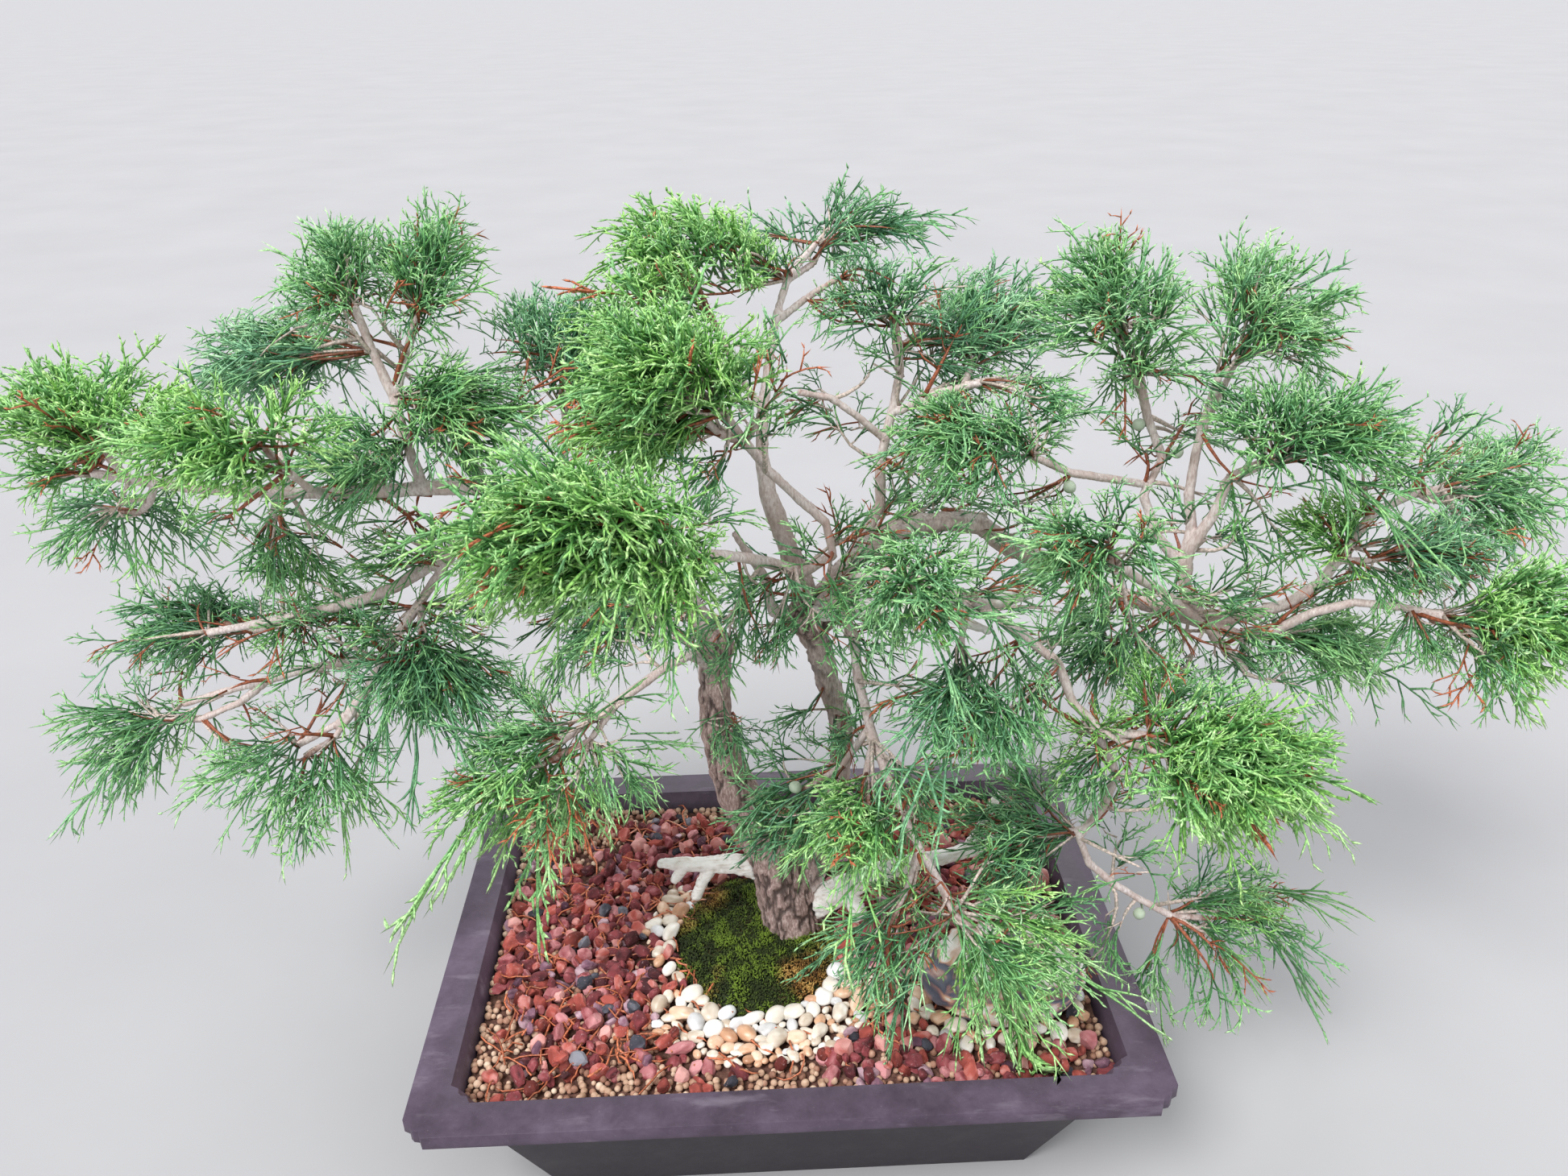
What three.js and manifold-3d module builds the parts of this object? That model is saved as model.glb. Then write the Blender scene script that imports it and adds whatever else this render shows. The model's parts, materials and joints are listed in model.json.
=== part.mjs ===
// A juniper bonsai in a rectangular training pot, in millimetres, +Z up.
// The origin is the middle of the pot's underside, X runs along the pot and -Y is its front.
import * as THREE from 'three';
import { mergeVertices } from 'three/addons/utils/BufferGeometryUtils.js';
import Module from 'manifold-3d';

const wasm = await Module();
wasm.setup();

// Pot
const POT_LENGTH = 380;
const POT_WIDTH = 288;
const POT_HEIGHT = 100;
const RIM_WIDTH = 19.5;
const RIM_THICKNESS = 4;
const LIP_DEPTH = 8;
const LIP_THICKNESS = 3;
const WALL = 4;
const FLOOR = 7;
const TOP_INSET = 16;
const BASE_INSET = 50;
const CORNER_NOTCH = 4;
const CORNER_LENGTH = 11;
const RECESS_DEPTH = 3;
const FOOT_WIDTH_ENDS = 18;
const FOOT_WIDTH_SIDES = 14;
const FOOT_RIB_HALF = 16;
const VENT_HALF = 8;
const FLOOR_FLARE = 2;
const DRAIN_RADIUS = 7;
const DRAIN_PITCH = 80;
const DRAIN_OFFSET = 42;

// Filling
const SOIL_TOP = 78;
const GRAVEL_TOP = 90;
const MOSS = { x: -15, y: -12, radiusX: 46, radiusY: 55, height: 8 };
const PEBBLES = { width: 22, height: 7, start: 2.5, end: 5.65 };

// Tree
const GAP = 0.3;
const LIMB_SIDES = 6;
const TRUNK_SIDES = 10;
const STALK_SIDES = 4;
const LIMB_STEP = 22;
const STALK_START = 1.9;
const STALK_END = 1.2;
const LUMP = 0.1;

// Solids and geometries

function toSolid(geometry) {
  const bare = geometry.clone();
  bare.deleteAttribute('normal');
  bare.deleteAttribute('uv');
  const merged = mergeVertices(bare, 1e-4);
  return new wasm.Manifold(new wasm.Mesh({
    numProp: 3,
    vertProperties: new Float32Array(merged.attributes.position.array),
    triVerts: new Uint32Array(merged.index.array),
  }));
}

function toGeometry(solid) {
  const mesh = solid.getMesh();
  const geometry = new THREE.BufferGeometry();
  geometry.setAttribute('position', new THREE.BufferAttribute(mesh.vertProperties, 3));
  geometry.setIndex(new THREE.BufferAttribute(mesh.triVerts, 1));
  geometry.computeVertexNormals();
  return geometry;
}

function moveVertices(geometry, move) {
  const position = geometry.attributes.position;
  const point = new THREE.Vector3();
  for (let i = 0; i < position.count; i += 1) {
    point.fromBufferAttribute(position, i);
    move(point);
    position.setXYZ(i, point.x, point.y, point.z);
  }
  return geometry;
}

function boxSolid(x0, x1, y0, y1, z0, z1) {
  const geometry = new THREE.BoxGeometry(x1 - x0, y1 - y0, z1 - z0);
  geometry.translate((x0 + x1) / 2, (y0 + y1) / 2, (z0 + z1) / 2);
  return toSolid(geometry);
}

// Pot and filling

// A rectangle whose corners step in and are rounded.
function potOutline() {
  const x = POT_LENGTH / 2;
  const y = POT_WIDTH / 2;
  const long = CORNER_LENGTH;
  const short = CORNER_LENGTH - 2;
  const notch = CORNER_NOTCH;
  const shape = new THREE.Shape();
  const corners = [[1, 1], [-1, 1], [-1, -1], [1, -1]];
  corners.forEach(([sx, sy], index) => {
    const points = [
      [x * sx, (y - long) * sy],
      [(x - notch) * sx, (y - short) * sy],
      [(x - notch) * sx, (y - notch) * sy],
      [(x - short) * sx, (y - notch) * sy],
      [(x - long) * sx, y * sy],
    ];
    if (sx * sy < 0) points.reverse();
    if (index === 0) shape.moveTo(...points[0]);
    else shape.lineTo(...points[0]);
    shape.lineTo(...points[1]);
    shape.quadraticCurveTo(...points[2], ...points[3]);
    shape.lineTo(...points[4]);
  });
  shape.closePath();
  return shape;
}

// The pot's outline drawn in by one amount at its lower face and another at its upper face.
function potPrism(z0, z1, lowerInset, upperInset) {
  const geometry = new THREE.ExtrudeGeometry(potOutline(), {
    depth: z1 - z0, bevelEnabled: false, curveSegments: 3,
  });
  moveVertices(geometry, (point) => {
    const inset = THREE.MathUtils.mapLinear(point.z, 0, z1 - z0, lowerInset, upperInset);
    point.x -= Math.sign(point.x) * inset;
    point.y -= Math.sign(point.y) * inset;
    point.z += z0;
  });
  return toSolid(geometry);
}

const wallInset = (z) => THREE.MathUtils.mapLinear(z, FLOOR, POT_HEIGHT, BASE_INSET + WALL - FLOOR_FLARE, RIM_WIDTH);

function filling(z0, z1) {
  const clear = 2 * GAP;
  return potPrism(z0, z1, wallInset(z0) + clear, wallInset(z1) + clear);
}

function potSolid() {
  const rimBottom = POT_HEIGHT - RIM_THICKNESS;
  let pot = potPrism(0, rimBottom, BASE_INSET, TOP_INSET)
    .add(potPrism(rimBottom, POT_HEIGHT, 0, 0))
    .add(potPrism(POT_HEIGHT - LIP_DEPTH, rimBottom, 0, 0)
      .subtract(potPrism(POT_HEIGHT - LIP_DEPTH - 1, rimBottom, LIP_THICKNESS, LIP_THICKNESS)
        .subtract(potPrism(0, rimBottom, BASE_INSET, TOP_INSET))));
  pot = pot.subtract(potPrism(FLOOR, POT_HEIGHT + 1, wallInset(FLOOR), wallInset(POT_HEIGHT + 1)));
  const recessX = POT_LENGTH / 2 - BASE_INSET - FOOT_WIDTH_ENDS;
  const recessY = POT_WIDTH / 2 - BASE_INSET - FOOT_WIDTH_SIDES;
  for (const side of [-1, 1]) {
    const [y0, y1] = side < 0 ? [-recessY, -FOOT_RIB_HALF] : [FOOT_RIB_HALF, recessY];
    pot = pot.subtract(boxSolid(-recessX, recessX, y0, y1, -1, RECESS_DEPTH));
    const middle = (y0 + y1) / 2;
    pot = pot.subtract(boxSolid(
      -POT_LENGTH / 2, POT_LENGTH / 2, middle - VENT_HALF, middle + VENT_HALF, -1, RECESS_DEPTH,
    ));
    for (const column of [-1, 0, 1]) {
      const hole = new THREE.CylinderGeometry(DRAIN_RADIUS, DRAIN_RADIUS, 4 * FLOOR, 12);
      hole.rotateX(Math.PI / 2);
      hole.translate(column * DRAIN_PITCH, side * DRAIN_OFFSET, 0);
      pot = pot.subtract(toSolid(hole));
    }
  }
  return pot;
}

function mossSolid() {
  const profile = [[0, 0], [1, 0], [0.96, 0.3], [0.8, 0.65], [0.45, 0.95], [0, 1]];
  const points = profile.map(([x, y]) => new THREE.Vector2(x, y));
  const geometry = new THREE.LatheGeometry(points, 28);
  geometry.rotateX(Math.PI / 2);
  geometry.scale(MOSS.radiusX, MOSS.radiusY, MOSS.height);
  geometry.translate(MOSS.x, MOSS.y, GRAVEL_TOP + GAP);
  return toSolid(geometry);
}

// A band of pebbles along the back left, the left and the front of the moss.
function pebbleSolid() {
  const shape = new THREE.Shape();
  const inner = 3 * GAP;
  const outer = PEBBLES.width;
  shape.absellipse(0, 0, MOSS.radiusX + outer, MOSS.radiusY + outer, PEBBLES.start, PEBBLES.end, false);
  shape.absellipse(0, 0, MOSS.radiusX + inner, MOSS.radiusY + inner, PEBBLES.end, PEBBLES.start, true);
  shape.closePath();
  const geometry = new THREE.ExtrudeGeometry(shape, {
    depth: PEBBLES.height, bevelEnabled: false, curveSegments: 20,
  });
  geometry.translate(MOSS.x, MOSS.y, GRAVEL_TOP + GAP);
  return toSolid(geometry);
}

// A closed lumpy ball; nothing of it lies below the floor height.
function lump({ centre, radii, seed, detail = 1, floor = -1000, clearance = 0 }) {
  const geometry = new THREE.IcosahedronGeometry(1, detail);
  moveVertices(geometry, (point) => {
    const wave = Math.sin(3.1 * point.x + seed) * Math.sin(2.7 * point.y + 1.7 * seed)
      + 0.6 * Math.sin(4.3 * point.z + 2.3 * seed);
    const swell = 1 + LUMP * wave;
    point.set(
      centre[0] + point.x * (radii[0] * swell + clearance),
      centre[1] + point.y * (radii[1] * swell + clearance),
      Math.max(centre[2] + point.z * (radii[2] * swell + clearance), floor - clearance),
    );
  });
  return toSolid(geometry);
}

// Wood

function blend(list, t) {
  const place = t * (list.length - 1);
  const index = Math.min(Math.floor(place), list.length - 2);
  return THREE.MathUtils.lerp(list[index], list[index + 1], place - index);
}

// A round limb along a smooth curve, its radii spread evenly from the first point to the last.
function limb({ route, radii, sides = LIMB_SIDES, ripple = 0 }, clearance = 0) {
  const curve = new THREE.CatmullRomCurve3(
    route.map((point) => new THREE.Vector3(...point)), false, 'centripetal',
  );
  const steps = Math.max(2, Math.round(curve.getLength() / LIMB_STEP));
  const frames = curve.computeFrenetFrames(steps, false);
  const geometry = new THREE.CylinderGeometry(1, 1, 1, sides, steps);
  moveVertices(geometry, (point) => {
    const t = THREE.MathUtils.clamp(point.y + 0.5, 0, 1);
    const station = Math.round(t * steps);
    const angle = Math.atan2(point.z, point.x);
    const radius = blend(radii, t) * (1 + ripple * Math.sin(3 * angle + 5 * t)) + clearance;
    const across = frames.normals[station].clone().multiplyScalar(point.x * radius);
    const over = frames.binormals[station].clone().multiplyScalar(-point.z * radius);
    let reach = 0;
    if (station === 0) reach = -clearance;
    if (station === steps) reach = clearance;
    point.copy(curve.getPointAt(t)).addScaledVector(frames.tangents[station], reach);
    point.add(across).add(over);
  });
  return toSolid(geometry);
}

const TRUNK_BASE = [6, -1, 92];

function rootLimbs() {
  const angles = [0.4, 1.7, 2.9, 4.1, 5.3];
  return angles.map((angle, index) => {
    const reach = 80 + 12 * (index % 3);
    const at = (share, z) => [
      TRUNK_BASE[0] + share * reach * Math.cos(angle + 0.3 * share),
      TRUNK_BASE[1] + 0.75 * share * reach * Math.sin(angle + 0.3 * share),
      z,
    ];
    return { route: [at(0, 72), at(0.35, 60), at(0.7, 46), at(1, 30)], radii: [9, 6, 4, 2] };
  });
}

const WOOD = {
  trunk: [
    {
      route: [[6, -1, 62], TRUNK_BASE, [-5, 0, 145], [-20, 2, 178], [-30, 6, 209], [-34, 10, 256], [-31, 9, 280]],
      radii: [20, 18.5, 16, 12.5, 10.5, 8.6, 7.5],
      sides: TRUNK_SIDES,
      ripple: 0.06,
    },
    { centre: [-32, 9, 278], radii: [10, 9, 10], seed: 4 },
    ...rootLimbs(),
  ],
  leader_stem: [
    { centre: [18, 12, 291], radii: [15, 11, 10], seed: 2 },
    {
      route: [[6, 0, 112], [22, 2, 140], [30, 8, 172], [36, 14, 217], [28, 16, 247], [18, 13, 290]],
      radii: [9, 8, 6.8, 6.4, 6.8, 8.5],
    },
    {
      route: [[18, 13, 290], [10, 19, 322], [-1, 22, 351], [-5, 28, 378], [0, 40, 420], [10, 58, 457], [26, 72, 472]],
      radii: [8, 5.6, 4.8, 3.2, 2.3, 1.9, 1.5],
    },
    { route: [[4, 49, 438], [20, 50, 450], [36, 56, 458]], radii: [1.9, 1.3] },
    { route: [[18, 13, 290], [-6, 10, 300], [-5, 10, 318], [-14, 0, 335], [-20, -8, 350]], radii: [5, 3.4, 2.4, 1.5] },
  ],
  right_centre_branch: [
    {
      route: [[18, 14, 292], [38, 28, 313], [56, 39, 337], [58, 44, 378], [67, 48, 400], [64, 56, 433]],
      radii: [4.4, 3.6, 3, 2.6, 2.1, 1.6],
    },
    { route: [[66, 46, 391], [76, 40, 400], [96, 30, 408], [104, 24, 412]], radii: [2.1, 1.4] },
    { route: [[58, 44, 378], [46, 40, 390], [30, 36, 403], [14, 30, 408]], radii: [1.9, 1.2] },
  ],
  arch_branch: [
    {
      route: [[20, 14, 296], [40, 22, 318], [62, 33, 329], [80, 37, 332], [111, 40, 329], [122, 40, 318],
        [148, 36, 307], [186, 26, 291], [228, 16, 279]],
      radii: [6, 5.6, 5.6, 5.8, 5.8, 5.2, 4.6, 4.2, 4.2],
    },
    { route: [[228, 16, 279], [240, 4, 268], [246, -10, 262]], radii: [2.8, 1.5] },
  ],
  right_rising_branch: [
    { route: [[228, 16, 280], [214, 16, 312], [224, 10, 342], [224, 8, 360], [246, 0, 378]], radii: [4, 3.2, 2.6, 1.7] },
    { route: [[214, 16, 312], [217, 18, 332], [213, 18, 352], [216, 21, 385], [222, 24, 412]], radii: [3, 2.4, 1.8] },
    {
      route: [[214, 16, 312], [196, 19, 334], [191, 23, 358], [200, 26, 366], [192, 28, 385], [184, 28, 412]],
      radii: [2.9, 2.4, 2.1, 1.6],
    },
    { route: [[191, 23, 356], [166, 14, 364], [148, 6, 370], [126, 0, 382]], radii: [2.1, 1.9, 1.3] },
  ],
  right_outer_branch: [
    {
      route: [[230, 16, 279], [253, 10, 284], [278, 0, 303], [288, 0, 320], [306, 6, 345], [344, 16, 352]],
      radii: [3.8, 3.2, 2.8, 2.5, 2.1, 1.6],
    },
    { route: [[228, 14, 277], [256, 6, 274], [275, -8, 294], [292, -16, 304], [331, -30, 303]], radii: [3.2, 2.6, 2.1, 1.6] },
    { route: [[228, 14, 279], [198, 0, 306], [172, -20, 328], [158, -40, 348]], radii: [2.9, 2.4, 1.6] },
  ],
  left_branch: [
    {
      route: [[-32, 9, 278], [-46, 16, 302], [-78, 25, 330], [-121, 25, 359], [-151, 15, 369], [-192, 5, 372],
        [-238, 0, 375], [-281, -4, 381], [-318, -8, 391]],
      radii: [6.6, 5.4, 4.8, 4.2, 3.8, 3.3, 2.8, 2.4, 1.8],
    },
    { route: [[-171, 10, 371], [-178, 15, 397], [-182, 22, 414], [-190, 28, 436], [-197, 34, 456]], radii: [2.7, 2.3, 1.6] },
    { route: [[-182, 22, 412], [-174, 30, 433], [-168, 38, 452]], radii: [2.1, 1.5] },
  ],
  left_lower_branch: [
    {
      route: [[-121, 25, 357], [-139, 15, 349], [-158, 10, 340], [-196, 5, 318], [-238, 2, 308], [-292, 8, 296]],
      radii: [3.8, 3.4, 3, 2.6, 2.2, 1.5],
    },
    { route: [[-158, 10, 340], [-180, 6, 312], [-205, 0, 280], [-220, -8, 256], [-250, -14, 240]], radii: [2.6, 2.2, 1.5] },
    { route: [[-203, 0, 282], [-228, 0, 280], [-263, 0, 272], [-310, 0, 259]], radii: [2.1, 1.9, 1.3] },
  ],
  low_left_twig: [
    { route: [[-34, 8, 266], [-51, -8, 283], [-63, -15, 274], [-80, -22, 266], [-110, -38, 252]], radii: [3.3, 2.7, 2.2, 1.5] },
  ],
  front_branch: [
    { route: [[18, 11, 300], [10, -10, 328], [-8, -30, 345], [-24, -55, 360], [-48, -90, 380]], radii: [3.6, 2.9, 2.4, 1.6] },
    { route: [[12, -8, 326], [32, -14, 345], [16, -12, 364], [-2, -16, 384], [-22, -34, 420]], radii: [2.6, 2.3, 2.1, 1.5] },
  ],
  low_right_branch: [
    {
      route: [[20, 11, 298], [38, -8, 322], [59, -20, 332], [90, -34, 325], [109, -40, 312], [134, -48, 294],
        [141, -52, 276], [150, -56, 262], [174, -72, 266]],
      radii: [3.8, 3.4, 3, 2.7, 2.4, 2.1, 1.8],
    },
    {
      route: [[148, -55, 264], [168, -52, 235], [165, -51, 211], [152, -53, 188], [168, -52, 165], [190, -50, 146],
        [208, -50, 134]],
      radii: [2.4, 2.1, 2.1, 1.7, 1.4],
    },
  ],
  low_front_branch: [
    {
      route: [[20, 10, 294], [34, -8, 310], [38, -20, 296], [40, -30, 276], [46, -46, 252], [54, -60, 232],
        [66, -72, 205], [80, -88, 186]],
      radii: [3.4, 2.8, 2.4, 2.1, 1.8, 1.5],
    },
  ],
  left_deadwood: [
    { route: [[-8, -1, 133], [-24, -2, 141], [-44, -3, 142], [-70, -4, 145]], radii: [7, 5, 4, 2] },
    { route: [[-40, -3, 142], [-46, -6, 132], [-50, -9, 123]], radii: [3.6, 2.4] },
    { route: [[-55, -4, 143], [-62, -7, 134]], radii: [2.4, 1.4] },
  ],
  right_deadwood: [
    {
      route: [[12, -2, 104], [24, -3, 113], [36, -5, 123], [60, -5, 135], [84, 0, 137], [110, 6, 137], [136, 10, 149]],
      radii: [9, 8, 6.5, 5, 4, 3.4, 1.6],
    },
    { route: [[36, -5, 122], [41, -13, 116], [44, -19, 112]], radii: [5, 4] },
    { route: [[108, 6, 137], [118, 12, 154], [127, 17, 170]], radii: [3, 1.4] },
  ],
  upper_deadwood: [
    { route: [[20, 8, 296], [36, -4, 304], [60, -16, 309], [99, -26, 315], [124, -31, 325]], radii: [5, 4.4, 4, 3.8, 3.4] },
    { route: [[80, -21, 312], [92, -26, 306], [104, -30, 302]], radii: [2.4, 1.2] },
  ],
};

// Foliage: each spray mass, its middle and half sizes, and the limb point where its stalk starts.
const FOLIAGE = [
  ['fan_left', [-205, 40, 469], [30, 30, 25], 'left_branch', [-192, 30, 440]],
  ['fan_right', [-164, 50, 468], [28, 30, 29], 'left_branch', [-174, 30, 433]],
  ['far_left_tip', [-314, -10, 420], [40, 36, 24], 'left_branch', [-300, -6, 386]],
  ['left_bright', [-222, -60, 427], [37, 34, 19], 'left_branch', [-215, 2, 373]],
  ['left_shoulder', [-253, 60, 426], [51, 36, 17], 'left_branch', [-230, 1, 374]],
  ['left_inner', [-148, 12, 410], [38, 34, 27], 'left_branch', [-140, 19, 366]],
  ['far_left_under', [-338, 35, 351], [43, 36, 21], 'left_branch', [-290, -5, 383]],
  ['left_under', [-258, 25, 344], [41, 36, 22], 'left_branch', [-240, 0, 375]],
  ['left_drop', [-302, 30, 289], [46, 32, 20], 'left_lower_branch', [-238, 2, 308]],
  ['low_left_tip', [-339, 0, 244], [47, 38, 28], 'left_lower_branch', [-263, 0, 272]],
  ['low_left_mid', [-252, -20, 230], [45, 38, 28], 'left_lower_branch', [-220, -8, 256]],
  ['left_near', [-176, -14, 285], [42, 38, 28], 'left_lower_branch', [-180, 6, 312]],
  ['low_left_front', [-126, -48, 238], [54, 40, 28], 'low_left_twig', [-80, -22, 266]],
  ['front_centre', [-71, -120, 400], [48, 42, 38], 'front_branch', [-24, -55, 360]],
  ['centre_dark', [-96, 60, 272], [52, 36, 28], 'left_branch', [-62, 21, 317]],
  ['upper_left_back', [-104, 56, 433], [38, 36, 26], 'left_branch', [-110, 25, 352]],
  ['upper_bright', [-40, 30, 477], [35, 36, 27], 'leader_stem', [-3, 33, 396]],
  ['upper_streak', [-46, -50, 448], [48, 36, 24], 'front_branch', [-10, -24, 400]],
  ['top', [40, 88, 480], [48, 34, 16], 'leader_stem', [10, 58, 457]],
  ['top_front', [62, 50, 448], [32, 26, 18], 'right_centre_branch', [66, 50, 408]],
  ['upper_right', [118, 75, 427], [42, 36, 30], 'right_centre_branch', [96, 30, 408]],
  ['right_of_centre', [99, 0, 392], [42, 36, 26], 'right_centre_branch', [76, 40, 400]],
  ['right_fan_left', [169, 34, 447], [32, 34, 31], 'right_rising_branch', [192, 28, 385]],
  ['right_fan_right', [252, 50, 445], [46, 36, 29], 'right_rising_branch', [216, 21, 385]],
  ['right_upper', [256, -14, 400], [48, 38, 24], 'right_rising_branch', [224, 8, 360]],
  ['far_right_tip', [382, 40, 345], [40, 34, 25], 'right_outer_branch', [330, 12, 351]],
  ['right_inner', [146, -62, 364], [42, 36, 22], 'right_outer_branch', [172, -20, 328]],
  ['right_blue', [326, -6, 330], [36, 26, 18], 'right_outer_branch', [288, 0, 320]],
  ['far_right_bright', [358, -48, 307], [34, 36, 29], 'right_outer_branch', [318, -26, 303]],
  ['knot_front', [60, -78, 354], [28, 28, 25], 'low_right_branch', [59, -20, 332]],
  ['centre_right', [86, -66, 286], [40, 34, 23], 'low_right_branch', [90, -34, 325]],
  ['right_bright', [200, -98, 270], [52, 42, 36], 'low_right_branch', [150, -56, 262]],
  ['hanging', [240, -52, 128], [50, 36, 38], 'low_right_branch', [190, -50, 146]],
  ['low_bright', [40, -78, 226], [32, 28, 24], 'low_front_branch', [46, -46, 252]],
  ['trunk_dark', [2, -46, 214], [36, 26, 28], 'low_front_branch', [44, -42, 258]],
  ['low_front', [46, -98, 168], [32, 28, 25], 'low_front_branch', [66, -72, 205]],
  ['over_rock', [106, -108, 162], [32, 28, 46], 'low_front_branch', [74, -80, 196]],
  ['right_shade', [124, -36, 186], [34, 32, 38], 'low_right_branch', [158, -52, 196]],
].map(([name, centre, radii, carrier, start], index) => ({ name, centre, radii, carrier, start, seed: index + 1 }));

// The point of a branch's limbs that is nearest to a given place.
function nearestOnLimbs(name, place) {
  const points = WOOD[name].filter(({ route }) => route).flatMap(({ route }) => new THREE.CatmullRomCurve3(
    route.map((point) => new THREE.Vector3(...point)), false, 'centripetal',
  ).getSpacedPoints(60));
  return points.reduce((best, point) => (
    point.distanceTo(place) < best.distanceTo(place) ? point : best
  ));
}

// A stalk leaves its limb, dips a little and ends short of the middle of its foliage.
function stalk({ centre, start, carrier, seed }) {
  const from = nearestOnLimbs(carrier, new THREE.Vector3(...start));
  const towards = new THREE.Vector3(...centre);
  const end = from.clone().lerp(towards, 0.82);
  const middle = from.clone().lerp(towards, 0.45);
  middle.z -= 0.1 * from.distanceTo(towards);
  middle.x += 3 * Math.sin(2 * seed);
  return { route: [from.toArray(), middle.toArray(), end.toArray()], radii: [STALK_START, STALK_END], sides: STALK_SIDES };
}

function limbsOf(name) {
  return [...WOOD[name], ...FOLIAGE.filter(({ carrier }) => carrier === name).map(stalk)];
}

const woodSolid = (part, clearance = 0) => (
  part.route ? limb(part, clearance) : lump({ ...part, clearance })
);

const join = (solids) => solids.reduce((whole, next) => whole.add(next));

function touching(a, b) {
  const one = a.boundingBox();
  const two = b.boundingBox();
  return [0, 1, 2].every((axis) => one.min[axis] < two.max[axis] && two.min[axis] < one.max[axis]);
}

// Takes every neighbour, grown by the gap, out of a solid.
function clearOf(solid, neighbours) {
  return neighbours.filter((other) => touching(solid, other))
    .reduce((left, other) => left.subtract(other), solid);
}

// Materials

const finish = (color, roughness) => new THREE.MeshStandardMaterial({ color, roughness, metalness: 0 });
const MATERIAL = {
  pot: finish(0x37353c, 0.65),
  soil: finish(0x3b2a20, 0.95),
  gravel: finish(0x8a4040, 0.9),
  moss: finish(0x5a6a22, 0.95),
  pebble: finish(0xd8cbb4, 0.5),
  rock: finish(0xc9b6a2, 0.7),
  redStone: finish(0x9c5148, 0.8),
  bark: finish(0x8d756c, 0.85),
  deadwood: finish(0xe6dfd4, 0.7),
  foliage: finish(0x3f8a3a, 0.6),
};

// Assembly

const group = new THREE.Group();

function place(name, solid, material) {
  const mesh = new THREE.Mesh(toGeometry(solid), material.clone());
  mesh.name = name;
  group.add(mesh);
}

const rock = { centre: [117, -60, 104], radii: [41, 27, 22], seed: 3, detail: 2, floor: GRAVEL_TOP + GAP };
const redStone = { centre: [150, 26, 97], radii: [12, 10, 9], seed: 5, floor: GRAVEL_TOP + GAP };

const woodNames = Object.keys(WOOD);
const grownWood = woodNames.map((name) => join(limbsOf(name).map((part) => woodSolid(part, GAP))));
const stones = [lump({ ...rock, clearance: GAP }), lump({ ...redStone, clearance: GAP })];

place('pot', potSolid(), MATERIAL.pot);
place('soil', clearOf(filling(FLOOR + GAP, SOIL_TOP), grownWood), MATERIAL.soil);
place('gravel_layer', clearOf(filling(SOIL_TOP + GAP, GRAVEL_TOP), grownWood), MATERIAL.gravel);
place('moss_patch', clearOf(mossSolid(), grownWood), MATERIAL.moss);
place('pebble_ring', clearOf(pebbleSolid(), [...grownWood, ...stones]), MATERIAL.pebble);
place('striped_rock', lump(rock), MATERIAL.rock);
place('red_stone', lump(redStone), MATERIAL.redStone);

woodNames.forEach((name, index) => {
  const whole = join(limbsOf(name).map((part) => woodSolid(part)));
  const material = name.endsWith('deadwood') ? MATERIAL.deadwood : MATERIAL.bark;
  place(name, clearOf(whole, grownWood.slice(0, index)), material);
});

const grownFoliage = [];
for (const mass of FOLIAGE) {
  place(mass.name, clearOf(lump(mass), [...grownWood, ...stones, ...grownFoliage]), MATERIAL.foliage);
  grownFoliage.push(lump({ ...mass, clearance: GAP }));
}

export default group;
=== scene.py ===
"""Looks of a juniper bonsai in a rectangular training pot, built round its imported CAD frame."""

import json
import math

import bmesh
import bpy
import numpy as np
from mathutils import Matrix, Vector
from mathutils.bvhtree import BVHTree


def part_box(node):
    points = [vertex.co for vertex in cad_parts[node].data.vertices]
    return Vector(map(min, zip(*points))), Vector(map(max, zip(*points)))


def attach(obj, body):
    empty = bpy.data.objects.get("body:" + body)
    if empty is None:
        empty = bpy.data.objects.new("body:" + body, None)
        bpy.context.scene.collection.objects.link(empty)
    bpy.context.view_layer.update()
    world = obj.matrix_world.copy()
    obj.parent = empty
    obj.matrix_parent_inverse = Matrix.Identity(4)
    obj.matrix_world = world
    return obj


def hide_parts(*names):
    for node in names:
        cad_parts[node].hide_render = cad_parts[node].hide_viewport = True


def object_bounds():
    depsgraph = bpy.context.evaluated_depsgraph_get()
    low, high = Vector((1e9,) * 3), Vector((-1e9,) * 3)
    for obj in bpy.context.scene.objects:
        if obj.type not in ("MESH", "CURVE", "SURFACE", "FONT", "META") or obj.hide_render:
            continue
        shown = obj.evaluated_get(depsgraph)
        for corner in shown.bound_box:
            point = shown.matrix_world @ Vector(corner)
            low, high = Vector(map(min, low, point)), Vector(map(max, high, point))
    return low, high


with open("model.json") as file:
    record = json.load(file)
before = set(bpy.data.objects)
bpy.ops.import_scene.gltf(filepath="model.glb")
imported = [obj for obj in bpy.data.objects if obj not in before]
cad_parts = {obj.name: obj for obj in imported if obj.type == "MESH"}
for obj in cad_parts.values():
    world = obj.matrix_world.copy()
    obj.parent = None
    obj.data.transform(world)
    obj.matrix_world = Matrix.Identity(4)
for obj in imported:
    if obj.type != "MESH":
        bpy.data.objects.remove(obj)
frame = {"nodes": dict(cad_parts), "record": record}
cad_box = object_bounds()

MM = 0.001
SHAPE_RNG = np.random.default_rng(11)

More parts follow.
